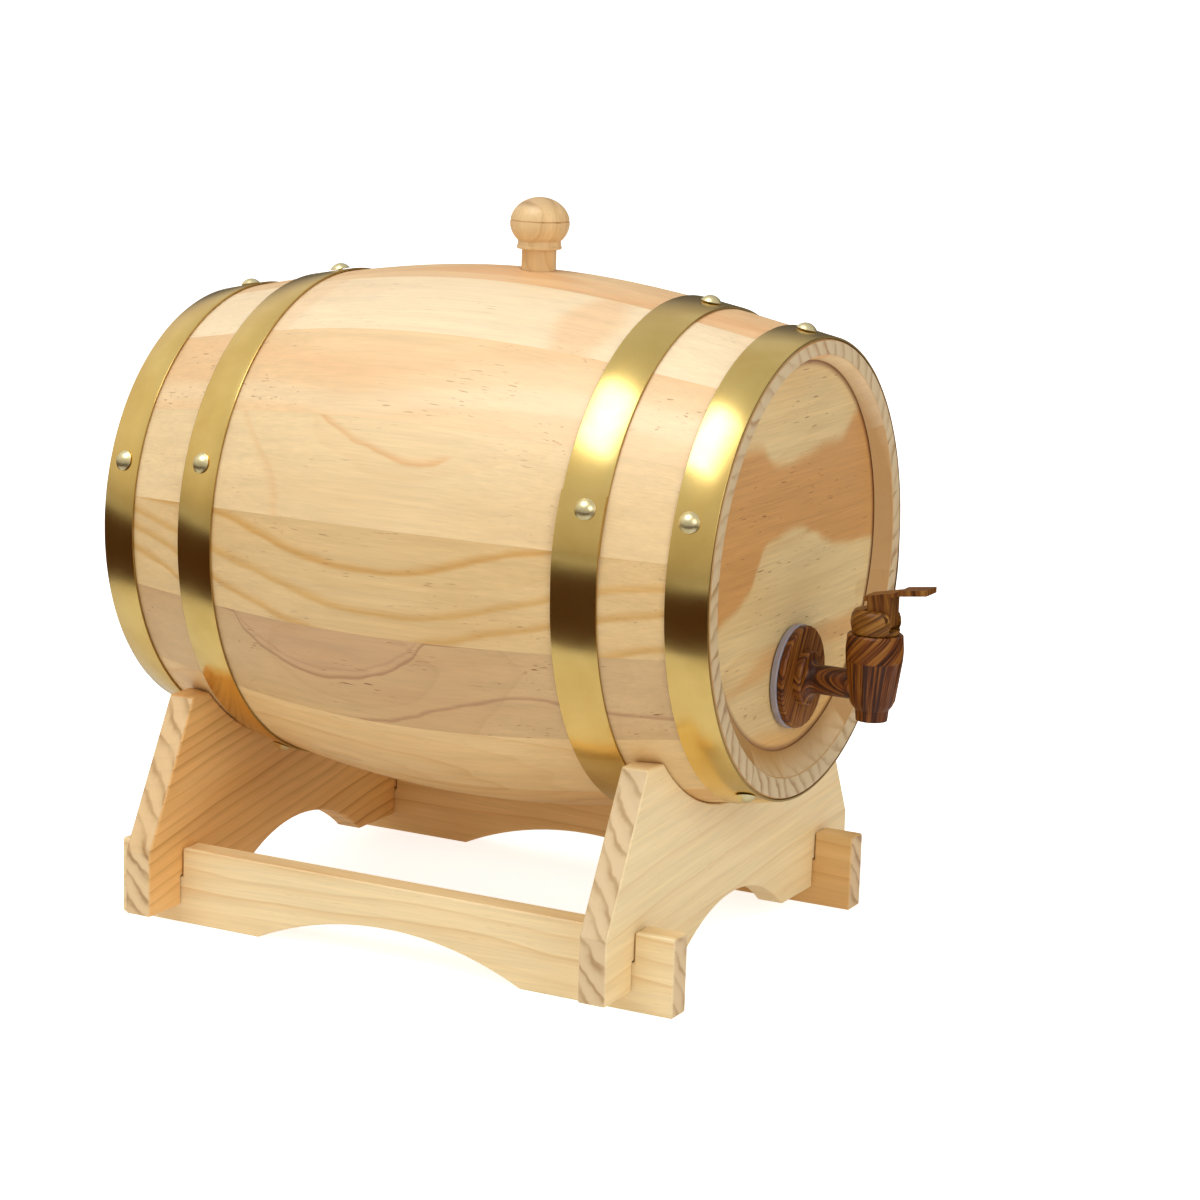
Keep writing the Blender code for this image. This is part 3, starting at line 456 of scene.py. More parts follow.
stave_bands = {
    16: [("#E8A868", 0.5, [(-40, -9), (0, -12), (40, -9)], [(-40, -7), (0, 6), (40, -7)], (4, 12))],
    15: [("#F0BE86", 0.55, [(-20, -60), (0, -65), (20, -60)], [(-20, -46), (0, -43), (20, -50)], (10, 9), True),
         ("#F2C692", 0.35, [(-20, 62), (20, 56)], [(-20, 74), (20, 70)], (6, 6), True)],
    14: [("#EDBE88", 0.4, [(-60, 14), (-20, 6), (10, -2), (40, 0), (80, 8)],
          [(-60, 26), (-20, 14), (10, 4), (40, 6), (80, 16)], (5, 8)),
         ("#F6DCB0", 0.5, [(-60, -8), (-20, -12), (20, -18), (60, -14)],
          [(-60, 2), (-20, -4), (20, -10), (60, -6)], (4, 6))],
    13: [("#DC9C56", 0.6, arc_13_low, arc_13_high, (1.6, 4.0)),
         ("#E5B47C", 0.4, [(-20, 39), (0, 47), (20, 64)], [(-20, 42), (0, 50), (20, 66)], (3, 5), True)],
    12: [
        ribbon(tone, share, line, -1.3, 1.1, (2.0, 3.8))
        for tone, share, line in (
            ("#CB943E", 0.75, line_12a), ("#D09E4E", 0.7, line_12b), ("#CE9A48", 0.7, line_12c),
            ("#CC9844", 0.7, line_12d),
        )
    ],
    11: [ribbon("#C99B76", 0.3, arc_11, 1.0, 40, (2.5, 2)),
         ribbon("#A87650", 0.75, arc_11, -0.7, 0.6, (0.9, 1.8)),
         ribbon("#B5835C", 0.5, arc_11, 2.8, 3.6, (1.0, 1.6)),
         ribbon("#AC7E58", 0.7, line_11, -0.8, 0.7, (1.0, 1.8))],
}
stave_finish = {}
for number, (middle, stretch, spacing, tones, lines, flecks) in stave_boards.items():
    angle = first_joint + stave_angle * (number - 0.5)
    stave_finish[number] = lacquered_pine(
        f"pine_planed_and_lacquered_stave_{number:02d}", (0, cask_middle, axis_height), (0, radians(angle), 0),
        (*middle, stretch, spacing), (*tones, END_TONE), lines, flecks, seed=number * 1.37,
        bands=stave_bands.get(number, ()),
        bevel="#B48444",
    )
print("stave boards:", len(stave_finish))

# %% [markdown]
# A stave's outline runs along the outside from rim to rim, over the chime, down its inner bevel to the groove
# that holds the head, and back along the inside. The groove and the opening lie a little above the cask's
# middle, as on the real cask, whose head was set in high. Nine such outlines side by side make one stave.

# %% Staves
head_face = half_length - 0.0056
croze_inside = head_face - 0.0106
opening_radius = 0.0706
opening_rise = 0.0044
chime_edge = (0.0765, 0.0010)  # radius and rise
groove_depth = 0.0036
stave_thickness = 0.0146
ease = 0.0004


def stave_outline(angle):
    """Closed (radius, y) outline of the staves at an angle."""
    steps = 30
    outside = [(outer_radius(y), y) for y in (half_length * (2 * s / steps - 1) for s in range(steps + 1))]
    outside[0] = (outside[0][0], -half_length + ease)
    outside[-1] = (outside[-1][0], half_length - ease)
    opening = off_centre(opening_radius, opening_rise, angle)
    groove = off_centre(opening_radius + groove_depth, opening_rise, angle)
    edge = off_centre(*chime_edge, angle)
    end = [
        (outer_radius(half_length) - ease, half_length),
        (edge + ease, half_length),
        (edge - ease * 0.3, half_length - ease * 0.3),
        (edge - ease * 1.2, half_length - ease * 1.6),
        (opening + ease * 0.6, head_face + ease * 0.6),
        (opening, head_face),
        (groove, head_face),
        (groove, croze_inside),
    ]
    front_extra = outer_radius(-half_length) - outer_radius(half_length)
    front_end = [(radius + front_extra * (at == 0), -y) for at, (radius, y) in enumerate(end)]
    inside = []
    for step in range(5):
        y = croze_inside * (1 - step / 2)
        share = (y / half_length) ** 2
        base = bilge_radius - stave_thickness
        inside.append((off_centre(base - (base - opening_radius) * share, opening_rise * share, angle), y))
    return outside + end + inside + front_end[::-1]


joint_gap = 0.00002
stave_pieces = {}
for number in range(1, stave_count + 1):
    start = first_joint + stave_angle * (number - 1)
    rings = []
    for step in range(9):
        angle = start + stave_angle * step / 8
        side = {0: 1, 8: -1}.get(step, 0)
        along = radians(angle)
        shift = Vector((cos(along), 0, -sin(along))) * side * joint_gap / 2
        rings.append([around(angle, radius, y) + shift for radius, y in stave_outline(angle)])
    stave_pieces[number] = finish_piece(f"stave_{number:02d}", skin(rings), stave_finish[number], sharp=25)
print("staves made:", len(stave_pieces))

# %% [markdown]
# ## Heads
#
# Each head is a flat pine disc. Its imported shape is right, and its edge is hidden in the groove, so it keeps the
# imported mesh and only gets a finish. On the front head the grain runs from side to side, and a band of warm
# heartwood crosses it. The band's edges are two drawn curves.

# %% Heads
head_centre = (0, cask_middle, axis_height)
across_head = (0, 0, radians(-90))
heart_low = [
    (-70, -13), (-60, -10), (-45, -6), (-36, 0), (-28, 11), (-15, 14), (0, 15), (10, 13), (20, 9), (30, 5), (45, 3),
    (75, 1),
]
heart_high = [
    (-70, 46), (-45, 48), (-31, 47), (-23, 41), (-12, 39), (0, 40), (20, 43), (38, 44), (46, 50), (60, 56), (75, 60),
]
streak_low = [(-70, -39), (-45, -38), (-20, -35), (130, -30)]
streak_high = [(-70, -37), (-45, -35), (-25, -27), (130, -24)]
foot_low = [(-60, -58), (-20, -64), (20, -70), (70, -62)]
foot_high = [(-60, -56), (-20, -57), (10, -58), (40, -50), (70, -42)]
head_bands = [
    ("#C88C48", 0.85, heart_low, heart_high, (4.5, 6.5)),
    ("#CF9452", 0.55, streak_low, streak_high, (5, 6)),
    ("#E0A653", 0.7, foot_low, foot_high, (4, 9)),
]
head_tones = ("#DDC18A", "#C2965A", "#D5AE70", END_TONE)
# The dark ring at the front head's edge is painted shade in the crease where the head meets the staves
front_head_edge_shade = ((0, cask_middle - head_face, axis_height + opening_rise), opening_radius, "#7A3C12")
front_head = lacquered_pine(
    "pine_planed_and_lacquered_front_head", head_centre, across_head, (0, 30, -60, 4.0, 9.0), head_tones, 0.35, 0.9,
    seed=4.2, bands=head_bands, width_axis="Z", rim=front_head_edge_shade, grain=0.1,
    fleck_tone="#7E4A24",
)
rear_head = lacquered_pine(
    "pine_planed_and_lacquered_rear_head", head_centre, across_head, (0, -20, -40, 4.0, 8.0), head_tones, 0.5, 0.5,
    seed=9.1,
)
for node, finish in (("head_front", front_head), ("head_rear", rear_head)):
    frame["nodes"][node].data.materials.clear()
    frame["nodes"][node].data.materials.append(finish)
print("front head faces the tap; its heartwood band is", heart_high[5][1] - heart_low[6][1], "mm high in the middle")

# %% [markdown]
# ## Brass
#
# The hoops are rolled brass strip, bright but not mirror-like: years in the air give it a thin haze, so the lamp
# shows as a long soft highlight. Brass keeps its colour in its reflections, so it is a metal with a yellow base.
# Faint cloudy patches change the polish from place to place, and a fine rolling grain runs along the strip.

# %% Brass finishes
def polished_brass(name, base, stain, roughness, cloud_scale, grain, sheared=0.0):
    """Brass with patches of haze. cloud_scale is per metre, and grain is the bump of the rolling marks. sheared
    is how far the front and rear edges turn dull and brown."""
    finish, tree = new_finish(name)
    place = add_node(tree, "TexCoord", out="Object")
    cloud = add_node(tree, "TexNoise", {"Vector": place, "Scale": cloud_scale, "Detail": 4.0, "Roughness": 0.6})
    marks = add_node(tree, "Mapping", {"Vector": place, "Scale": (60, 2600, 60)})
    mark = add_node(tree, "TexNoise", {"Vector": marks, "Scale": 1.0, "Detail": 2.0})
    patch = remap(tree, cloud, 0.35, 0.7)
    tone = mix_tone(tree, patch, colour(base), colour(stain))
    rough = remap(tree, cloud, 0.3, 0.7, roughness * 0.85, roughness * 1.2)
    # The strip's sheared edges face front and rear, and are dull and brown
    facing = tree.nodes.new("ShaderNodeSeparateXYZ")
    tree.links.new(add_node(tree, "TexCoord", out="Normal"), facing.inputs[0])
    edge = maths(tree, "ABSOLUTE", facing.outputs["Y"])
    edge = remap(tree, edge, 0.5, 0.7, 0, sheared)
    tone = mix_tone(tree, edge, tone, colour("#80602C"))
    rough = add_node(tree, "Mix", {0: edge, 2: rough, 3: 0.5})
    bump = add_node(tree, "Bump", {"Height": mark, "Strength": grain, "Distance": 0.00005})
    surface = add_node(
        tree, "BsdfPrincipled", {"Base Color": tone, "Metallic": 1.0, "Roughness": rough, "Normal": bump},
    )
    add_node(tree, "OutputMaterial", {"Surface": surface})
    return finish


hoop_brass = polished_brass("brass_rolled_strip", "#EED082", "#E2C070", 0.2, 45, 0.04, 0.55)
tack_brass = polished_brass("brass_stamped_tack", "#EAE0B4", "#DDCE9A", 0.33, 300, 0.0)
print("brass finishes:", hoop_brass.name, tack_brass.name)

# %% [markdown]
# ## Hoops
#
# Each hoop is a strip bent once round the cask and on over its own start, where the two layers are tacked
# together. Near the end of the turn the strip climbs onto itself. The sheared edges are broken by a quarter of a
# millimetre, which gives each edge its own thin line of light.

# %% Hoops
strip = 0.0007
strip_gap = 0.0002
seat_gap = 0.0003
lap_angle = 13.0
ramp_angle = 9.0
end_edges = (0.1098, 0.1248)
quarter_edges = (0.0699, 0.0862)
hoop_layout = {
    # edges from the cask's middle, the angle where the lap ends
    "front_end": ((-end_edges[1], -end_edges[0]), 112.0),
    "front_quarter": ((-quarter_edges[1], -quarter_edges[0]), -68.0),
    "rear_quarter": (quarter_edges, 112.0),
    "rear_end": (end_edges, 112.0),
}


def seat_radius(y, edges):
    """A hoop's inner radius: a cone that clears the staves at both edges."""
    low, high = (outer_radius(edge) + seat_gap for edge in edges)
    return low + (high - low) * (y - edges[0]) / (edges[1] - edges[0])


for name, (edges, lap_end) in hoop_layout.items():
    start = lap_end - lap_angle
    total = 360.0 + lap_angle
    steps = ceil(total / 1.5)
    ease_strip = 0.00025
    section = [
        (0, 0), (0, 1), (strip - ease_strip, 1), (strip - ease_strip * 0.3, 1 - 0.3 * 0.015), (strip, 1 - 0.017),
    ]
    section += [(strip, 0.017), (strip - ease_strip * 0.3, 0.3 * 0.015), (strip - ease_strip, 0)]
    rings = []
    for step in range(steps + 1):
        travel = total * step / steps
        climb = (strip + strip_gap) * min(1.0, max(0.0, (travel - (360 - ramp_angle)) / ramp_angle))
        ring = []
        for rise, share in section:
            y = edges[0] + (edges[1] - edges[0]) * share
            ring.append(around(start + travel, seat_radius(y, edges) + climb + rise, y))
        rings.append(ring)
    finish_piece(f"hoop_{name}", skin(rings), hoop_brass, sharp=40)
    print("hoop", name, "diameter", round(2000 * seat_radius(sum(edges) / 2, edges), 1), "mm")

# %% [markdown]
# ## Tacks
#
# Sixteen round-headed brass tacks hold the hoops, four to a hoop. They were driven by hand, so each sits a
# little off its hoop's middle. A tack is turned from one outline: the dome, its thin rim and the pointed shank.

# %% Tacks
tack_places = {
    "front_end": ((-71.0, 0.0020), (4.0, 0.0006), (106.0, 0.0), (-153.5, -0.0030)),
    "front_quarter": ((-71.5, -0.0015), (2.0, -0.0020), (106.0, 0.0), (-160.0, 0.0)),
    "rear_quarter": ((-71.5, 0.0), (-1.0, -0.0040), (106.0, 0.0), (-160.0, 0.0)),
    "rear_end": ((-72.5, 0.0), (5.0, 0.0030), (106.0, 0.0), (-158.0, 0.0)),
}
head_radius, head_height = 0.0038, 0.0023
sphere = (head_radius**2 + head_height**2) / (2 * head_height)
rim_turn = asin(head_radius / sphere)
tack_tip, point_start, shank_radius, rim_height = -0.0048, -0.0032, 0.0009, 0.0002
tack_outline = [(0, tack_tip), (shank_radius, point_start), (shank_radius, 0), (head_radius - rim_height, 0)]
for step in range(9):
    turn = rim_turn * (1 - step / 8)
    tack_outline.append((sphere * sin(turn), max(rim_height, sphere * cos(turn) - sphere + head_height)))
for name, (edges, lap_end) in hoop_layout.items():
    slope = atan2(outer_radius(edges[1]) - outer_radius(edges[0]), edges[1] - edges[0])
    for number, (angle, setback) in enumerate(tack_places[name], 1):
        y = sum(edges) / 2 + setback
        lapped = (lap_end - angle) % 360 < lap_angle
        seat = around(angle, seat_radius(y, edges) + strip + (strip + strip_gap) * lapped, y)
        turn = radians(angle)
        outward = Vector((sin(turn) * cos(slope), -sin(slope), cos(turn) * cos(slope)))
        where = outward.to_track_quat("Z", "Y").to_matrix().to_4x4()
        where.translation = seat + outward * seat_gap
        finish_piece(f"tack_{name}_{number}", turned(tack_outline, 32, where), tack_brass, sharp=50)
print("tacks:", sum(len(places) for places in tack_places.values()))

# %% [markdown]
# ## Bung
#
# The bung is turned from one piece of pine on a lathe: a ball with a fine groove cut round it, a hollow under
# the ball, a thin collar, and the stem that plugs the hole in the top stave. The hole is cut into that stave, so
# it shows when the bung is pulled. A boolean cuts it once, and the cut mesh becomes the stave's own.

# %% Bung
bung_y = cask_middle - 0.0108
bung_base = axis_height + bilge_radius
neck, collar, hollow = 0.0076, 0.0011, 0.0018
knob_radius, knob_half = 0.0110, 0.0094
turn_low = -acos(0.0079 / knob_radius)
knob_middle = neck + collar + hollow - knob_half * sin(turn_low)
groove_lift, half_groove, groove_cut, hole_radius = 0.0009, 0.035, 0.0004, 0.0067
groove_turn = asin(groove_lift / knob_half)
bung_outline = [
    (0, -0.0161), (0.0057, -0.0161), (0.0060, -0.0158), (0.0064, 0), (0.0064, neck - 0.0004), (0.0066, neck),
]
bung_outline += [(0.0081, neck), (0.0083, neck + 0.0002), (0.0083, neck + collar - 0.0002), (0.0081, neck + collar)]
for step in range(10):
    turn = turn_low + (groove_turn - half_groove - turn_low) * step / 9
    bung_outline.append((knob_radius * cos(turn), knob_middle + knob_half * sin(turn)))
bung_outline.append(((knob_radius - groove_cut) * cos(groove_turn), knob_middle + knob_half * sin(groove_turn)))
for step in range(15):
    turn = groove_turn + half_groove + (pi / 2 - groove_turn - half_groove) * step / 14
    bung_outline.append((max(0, knob_radius * cos(turn)), knob_middle + knob_half * sin(turn)))
bung_tones = ("#E6C48E", "#CA9A5E", "#DCB47C", "#D8B482")
bung_pine = lacquered_pine(
    "pine_turned_bung", (0, bung_y, bung_base + 0.012), (radians(90), 0, radians(20)), (20, 0, 12, 1.4, 4.5),
    bung_tones, 0.6, 0.0, seed=2.2,
)
finish_piece("bung", turned(bung_outline, 48, Matrix.Translation((0, bung_y, bung_base))), bung_pine, sharp=35)
hole = turned(
    [(0, -0.03), (hole_radius, -0.03), (hole_radius, 0.01), (0, 0.01)], 48,
    Matrix.Translation((0, bung_y, bung_base)),
)
close_up(hole)
drill = placed("bung_hole_drill", hole)
cut = stave_pieces[16].modifiers.new("bung hole", "BOOLEAN")
cut.operation = "DIFFERENCE"
cut.solver = "EXACT"
cut.object = drill
bpy.context.view_layer.update()
bored = bpy.data.meshes.new_from_object(stave_pieces[16].evaluated_get(bpy.context.evaluated_depsgraph_get()))
stave_pieces[16].modifiers.clear()
stave_pieces[16].data = bored
bpy.data.objects.remove(drill)
print("bung's ball is", 2000 * knob_radius, "mm across; the bored stave has", len(bored.polygons), "faces")

# %% [markdown]
# ## Stand
#
# Two cradle boards and two rails are half-lapped like the sides of a crate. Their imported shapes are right, so
# each piece is an eased copy: its flats made whole and its arrises rounded by half a millimetre, as sandpaper
# does. Grain runs along each board: from side to side on the cradles, and front to back on the rails. On the
# cradles it rises a little to one side, because the board was sawn at a slant to the tree.

# %% Stand
stand_tones = ("#F6DFAE", "#DCAE6C", "#F0D29C", "#E2C79C")
# The rear cradle and the far rail lie in the cask's shade: their darker, more orange tones are painted shade and warm
# bounce light
rear_tones_painted_shade = ("#EDBC78", "#C0843C", "#E2AA60", "#EACB9A")
far_rail_tones_painted_shade = ("#EAC282", "#CC924C", "#DEAC68", "#E2C294")
stand_boards = {
    # place, turn, rings, tones, lines, flecks, seed
    "cradle_front": (
        (0, cask_middle - 0.0948, 0.05), (radians(4), 0, radians(-90)), (0, 60, -120, 7.0, 7.5), stand_tones, 0.32,
        0.15, 3.3,
    ),
    "cradle_rear": (
        (0, cask_middle + 0.0948, 0.05), (radians(8), 0, radians(-90)), (4, 120, -90, 8.0, 4.6), rear_tones_painted_shade, 1.0, 0.1,
        6.1,
    ),
    "rail_left": (
        (-0.0769, cask_middle, 0.0145), (radians(-1.5), 0, 0), (14, 60, -30, 9.0, 6.0), stand_tones, 0.55, 0.15, 7.7,
    ),
    "rail_right": (
        (0.0769, cask_middle, 0.0145), (radians(1), 0, 0), (-12, -60, -34, 9.0, 6.5), far_rail_tones_painted_shade, 0.5, 0.15, 8.4,
    ),
}
for node, (at, turn, rings, tones, lines, flecks, seed) in stand_boards.items():
    board = lacquered_pine(
        f"pine_sanded_{node}", at, turn, rings, tones, lines, flecks, seed=seed, end_stripes=(0.11, 0, 0.11),
        waver=1.6,
    )
    piece = eased_copy(node, board, 0.0005)
    print(node, "has", len(piece.data.polygons), "faces before easing")

# %% [markdown]
# ## Tap
#
# The tap is moulded plastic with a printed walnut grain. The print shows as long dark and light streaks under a
# satin surface. The pattern is noise drawn out to about 30 mm long and 1 mm wide. On the flange and the barrel's
# shoulder it leans. On the facets below it stands nearly upright and is darker, because the film was wrapped
# there. The washer behind the flange is clear silicone, milky grey where it is thick.

# %% Tap finishes
tap_z = axis_height - 0.0394
tap_front = cask_middle - half_length - 0.0263
BARREL_RADIUS = 0.0095


def streaks(tree, place, wrapped, lean, narrow, seed):
    """Long streaks, high where pale. Wrapped film goes round the tap's barrel, and flat film mostly
    ignores front to back.

    lean turns the streaks away from upright, and narrow is about their count per metre."""
    split = tree.nodes.new("ShaderNodeSeparateXYZ")
    tree.links.new(place, split.inputs[0])
    sideways = split.outputs["X"]
    if wrapped:
        ahead = maths(tree, "SUBTRACT", tap_front, split.outputs["Y"])
        sideways = maths(tree, "ARCTAN2", sideways, ahead)
        sideways = maths(tree, "MULTIPLY", sideways, BARREL_RADIUS)
    else:
        sideways = maths(tree, "MULTIPLY_ADD", split.outputs["Y"], 0.4, sideways)
    film = add_node(tree, "CombineXYZ", {"X": sideways, "Z": split.outputs["Z"]})
    own = add_node(
        tree, "Mapping", {
            "Vector": film, "Location": (seed, 0, seed), "Rotation": (0, radians(lean), 0),
            "Scale": (1 / narrow, 1, 0.03),
        },
        vector_type="TEXTURE",
    )
    fine = add_node(
        tree, "TexNoise", {"Vector": own, "Scale": 1.0, "Detail": 3.0, "Roughness": 0.6, "Distortion": 0.2},
    )
    broad = add_node(tree, "TexNoise", {"Vector": own, "Scale": 0.35, "Detail": 1.0})
    return maths(tree, "ADD", maths(tree, "MULTIPLY", broad, 0.6), fine)


def between(tree, value, low, high, soft=0.0006):
    """One where value lies between low and high, with soft edges."""
    rise = remap(tree, value, low - soft, low + soft)
    fall = remap(tree, value, high - soft, high + soft, 1, 0)
    return maths(tree, "MULTIPLY", rise, fall)


def printed_walnut(name, tones, wrapped, lean, narrow, seed, on_body=False):
    """Wood-grain print. tones run from the dark streaks to the pale ones."""
    finish, tree = new_finish(name)
    place = add_node(tree, "TexCoord", out="Object")
    streak = streaks(tree, place, wrapped, lean, narrow, seed)
    if on_body:
        split = tree.nodes.new("ShaderNodeSeparateXYZ")
        tree.links.new(place, split.inputs[0])
        high, back = split.outputs["Z"], split.outputs["Y"]
        facets = maths(tree, "SUBTRACT", streaks(tree, place, True, 4, 1200, seed + 3), 0.04)
        on_facets = between(tree, high, tap_z - 0.03, tap_z + 0.0098, 0.0004)
        streak = add_node(tree, "Mix", {0: on_facets, 2: streak, 3: facets})
        flange = streaks(tree, place, False, 28, 1300, seed + 5)
        collar = between(tree, back, cask_middle - half_length - 0.0022, cask_middle - half_length + 0.0008)
        flange = maths(tree, "MULTIPLY_ADD", collar, 0.09, flange)
        flange = maths(tree, "SUBTRACT", flange, 0.05)
        on_flange = between(tree, back, tap_front + 0.0092, tap_front + 0.1)
        streak = add_node(tree, "Mix", {0: on_flange, 2: streak, 3: flange})
    stops = list(zip((0.66, 0.75, 0.83, 0.95), (colour(code) for code in tones)))
    tone = add_node(tree, "ValToRGB", {"Fac": streak}, stops=stops)
    rough = remap(tree, streak, 0, 1, 0.3, 0.44)
    bump = add_node(tree, "Bump", {"Height": streak, "Strength": 0.08, "Distance": 0.0001})
    surface = add_node(
        tree, "BsdfPrincipled",
        {"Base Color": tone, "Roughness": rough, "Normal": bump, "IOR": 1.49, "Specular IOR Level": 0.3},
    )
    add_node(tree, "OutputMaterial", {"Surface": surface})
    return finish


body_print = printed_walnut(
    "abs_printed_walnut_body", ("#3A1A06", "#602E0C", "#7C460F", "#966022"), True, 42, 1300, 3.0, True,
)
bonnet_print = printed_walnut(
    "abs_printed_walnut_bonnet", ("#563008", "#724610", "#86561A", "#9A6C2A"), True, 60, 1000, 5.0,
)
lever_print = printed_walnut(
    "abs_printed_walnut_lever", ("#482408", "#66380E", "#7E4E18", "#94662A"), False, 4, 1200, 8.0,
)
inner_plastic, tree = new_finish("abs_moulded_brown")
speck = add_node(
    tree, "TexNoise", {"Vector": add_node(tree, "TexCoord", out="Object"), "Scale": 800.0, "Detail": 2.0},
)
tone = mix_tone(tree, speck, colour("#3A2414"), colour("#4A3020"))
add_node(
    tree, "OutputMaterial",
    {"Surface": add_node(tree, "BsdfPrincipled", {"Base Color": tone, "Roughness": 0.45, "IOR": 1.5})},
)


def silicone(name, thin, thick, scatter):
    """Milky silicone rubber: light goes in and comes out softened."""
    finish, tree = new_finish(name)
    place = add_node(tree, "TexCoord", out="Object")
    cloud = add_node(tree, "TexNoise", {"Vector": place, "Scale": 220.0, "Detail": 2.0})
    tone = mix_tone(tree, cloud, colour(thin), colour(thick))
    rough = remap(tree, cloud, 0, 1, 0.28, 0.4)
    surface = add_node(
        tree, "BsdfPrincipled",
        {
            "Base Color": tone, "Roughness": rough, "IOR": 1.41, "Subsurface Weight": scatter,
            "Subsurface Scale": 0.002,
        },
    )
    add_node(tree, "OutputMaterial", {"Surface": surface})
    return finish


washer_silicone = silicone("silicone_clear_washer", "#A8A2A8", "#908A94", 0.5)
seal_silicone = silicone("silicone_seal", "#B8B2AE", "#A6A09C", 0.3)
spring_steel, tree = new_finish("steel_drawn_wire")
drawn = add_node(tree, "TexNoise", {"Vector": add_node(tree, "TexCoord", out="Object"), "Scale": 3000.0})
tone = mix_tone(tree, drawn, colour("#A8A8AC"), colour("#C4C4C6"))
add_node(
    tree, "OutputMaterial",
    {"Surface": add_node(tree, "BsdfPrincipled", {"Base Color": tone, "Metallic": 1.0, "Roughness": 0.3})},
)
for node, finish in (
    ("tap_nut", inner_plastic), ("tap_stem", inner_plastic), ("tap_seal", seal_silicone),
    ("tap_spring", spring_steel), ("tap_washer_inner", washer_silicone),
):
    frame["nodes"][node].data.materials.clear()
    frame["nodes"][node].data.materials.append(finish)
print("hidden tap pieces that keep their packed shape:", 5)

# %% [markdown]
# The tap's visible pieces are eased copies as well. Moulded plastic has small even radii where the mould's halves
# and inserts meet, so every arris gets a quarter of a millimetre. The washer is soft, so its rim is rounder.

# %% Tap pieces
for node, finish, width, sharp in (
    ("tap_body", body_print, 0.0002, 24), ("tap_bonnet", bonnet_print, 0.00025, 30),
    ("tap_lever", lever_print, 0.00025, 30), ("tap_washer_outer", washer_silicone, 0.0006, 40),
):
    piece = eased_copy(node, finish, width, sharp)
    print(node, [round(1000 * side, 1) for side in piece.dimensions], "mm")

# %% [markdown]
# ## Floor, light and camera
#
# The object stands on a white paper floor, which keeps a faint soft shadow. What the camera sees behind it is
# white. A low oval screen of brown felt stands round the table, as photographers put one round bright metal. Only
# reflections see it, and it draws the dark band that makes a hoop look round.

# %% Floor and screen
def only_in_reflections(piece):
    """Hides a stage piece from all but mirror-like rays."""
    for kind in ("camera", "diffuse", "transmission", "volume_scatter", "shadow"):
        setattr(piece, "visible_" + kind, False)


floor_shape = bmesh.new()
bmesh.ops.create_circle(floor_shape, cap_ends=True, segments=96, radius=30.0)
floor_paint, tree = new_finish("white_paper_floor")
paths = tree.nodes.new("ShaderNodeLightPath")
seen = maths(tree, "MAXIMUM", paths.outputs["Is Camera Ray"], paths.outputs["Is Transmission Ray"])
seen = maths(tree, "MULTIPLY_ADD", paths.outputs["Is Diffuse Ray"], 0.35, seen)
grain = add_node(tree, "TexNoise", {"Vector": add_node(tree, "TexCoord", out="Object"), "Scale": 400.0})
paper = mix_tone(tree, grain, colour("#E6E6E6"), colour("#EAEAEA"))
matt = add_node(tree, "BsdfDiffuse", {"Color": paper})
away = add_node(tree, "VectorMath", {0: add_node(tree, "TexCoord", out="Object")}, out="Value", operation="LENGTH")
amount = remap(tree, away, 0.15, 1.2, 0.75, 0.95)
lift = maths(tree, "MULTIPLY", seen, amount)
glow = add_node(tree, "Emission", {"Color": colour("#FFFFFF"), "Strength": lift})
both = tree.nodes.new("ShaderNodeAddShader")
tree.links.new(matt, both.inputs[0])
tree.links.new(glow, both.inputs[1])
add_node(tree, "OutputMaterial", {"Surface": both.outputs[0]})
floor = placed("floor", floor_shape, floor_paint)

screen_shape = bmesh.new()
screen_across, screen_along, screen_height = 0.27, 0.45, 0.138
turns = [2 * pi * s / 64 for s in range(64)]
low = [screen_shape.verts.new((screen_across * cos(t), screen_along * sin(t), 0.002)) for t in turns]
high = [screen_shape.verts.new((v.co.x, v.co.y, screen_height)) for v in low]
for s in range(64):
    screen_shape.faces.new((low[s], low[s - 1], high[s - 1], high[s]))
screen_paint, tree = new_finish("dark_felt_screen")
nap = add_node(tree, "TexNoise", {"Vector": add_node(tree, "TexCoord", out="Object"), "Scale": 300.0})
felt = mix_tone(tree, nap, colour("#4C321A"), colour("#583C22"))
add_node(tree, "OutputMaterial", {"Surface": add_node(tree, "BsdfDiffuse", {"Color": felt})})
screen = placed("dark_screen", screen_shape, screen_paint)
only_in_reflections(screen)

# %% [markdown]
# The sky is dim and brown at the horizon and a pale neutral grey from halfway up. It is darker on the +X side and
# about a third brighter behind the cask. One softbox hangs high on the left, with a white card just under it that
# only reflections see, so that hoops show it as a broad window. The other softbox stands in front, on the left,
# and fills the shadows. Rays from the camera see plain white instead of the sky.

# %% Sky and lamps
world = bpy.data.worlds.new("studio")
bpy.context.scene.world = world
world.use_nodes = True
tree = world.node_tree
tree.nodes.clear()
direction = add_node(tree, "TexCoord", out="Generated")
split = tree.nodes.new("ShaderNodeSeparateXYZ")
tree.links.new(direction, split.inputs[0])
sky = add_node(
    tree, "ValToRGB", {"Fac": split.outputs["Z"]},
    stops=[
        (0.0, (0.3, 0.26, 0.21, 1)), (0.1, (0.47, 0.42, 0.35, 1)), (0.3, (0.58, 0.53, 0.46, 1)),
        (0.6, (0.64, 0.62, 0.59, 1)), (1.0, (0.56, 0.56, 0.55, 1)),
    ],
)
lower = maths(tree, "MULTIPLY_ADD", split.outputs["Z"], -0.5, split.outputs["X"])
side = remap(tree, lower, 0.4, 0.75, 1.0, 0.25)
rear = remap(tree, split.outputs["Y"], 0.45, 0.75, 1.0, 1.35)
both = maths(tree, "MULTIPLY", side, rear)
sky = mix_tone(tree, 1.0, sky, both, "MULTIPLY")
paths = tree.nodes.new("ShaderNodeLightPath")
white = mix_tone(tree, paths.outputs["Is Camera Ray"], sky, (1, 1, 1, 1))
add_node(tree, "OutputWorld", {"Surface": add_node(tree, "Background", {"Color": white, "Strength": 1.0})})


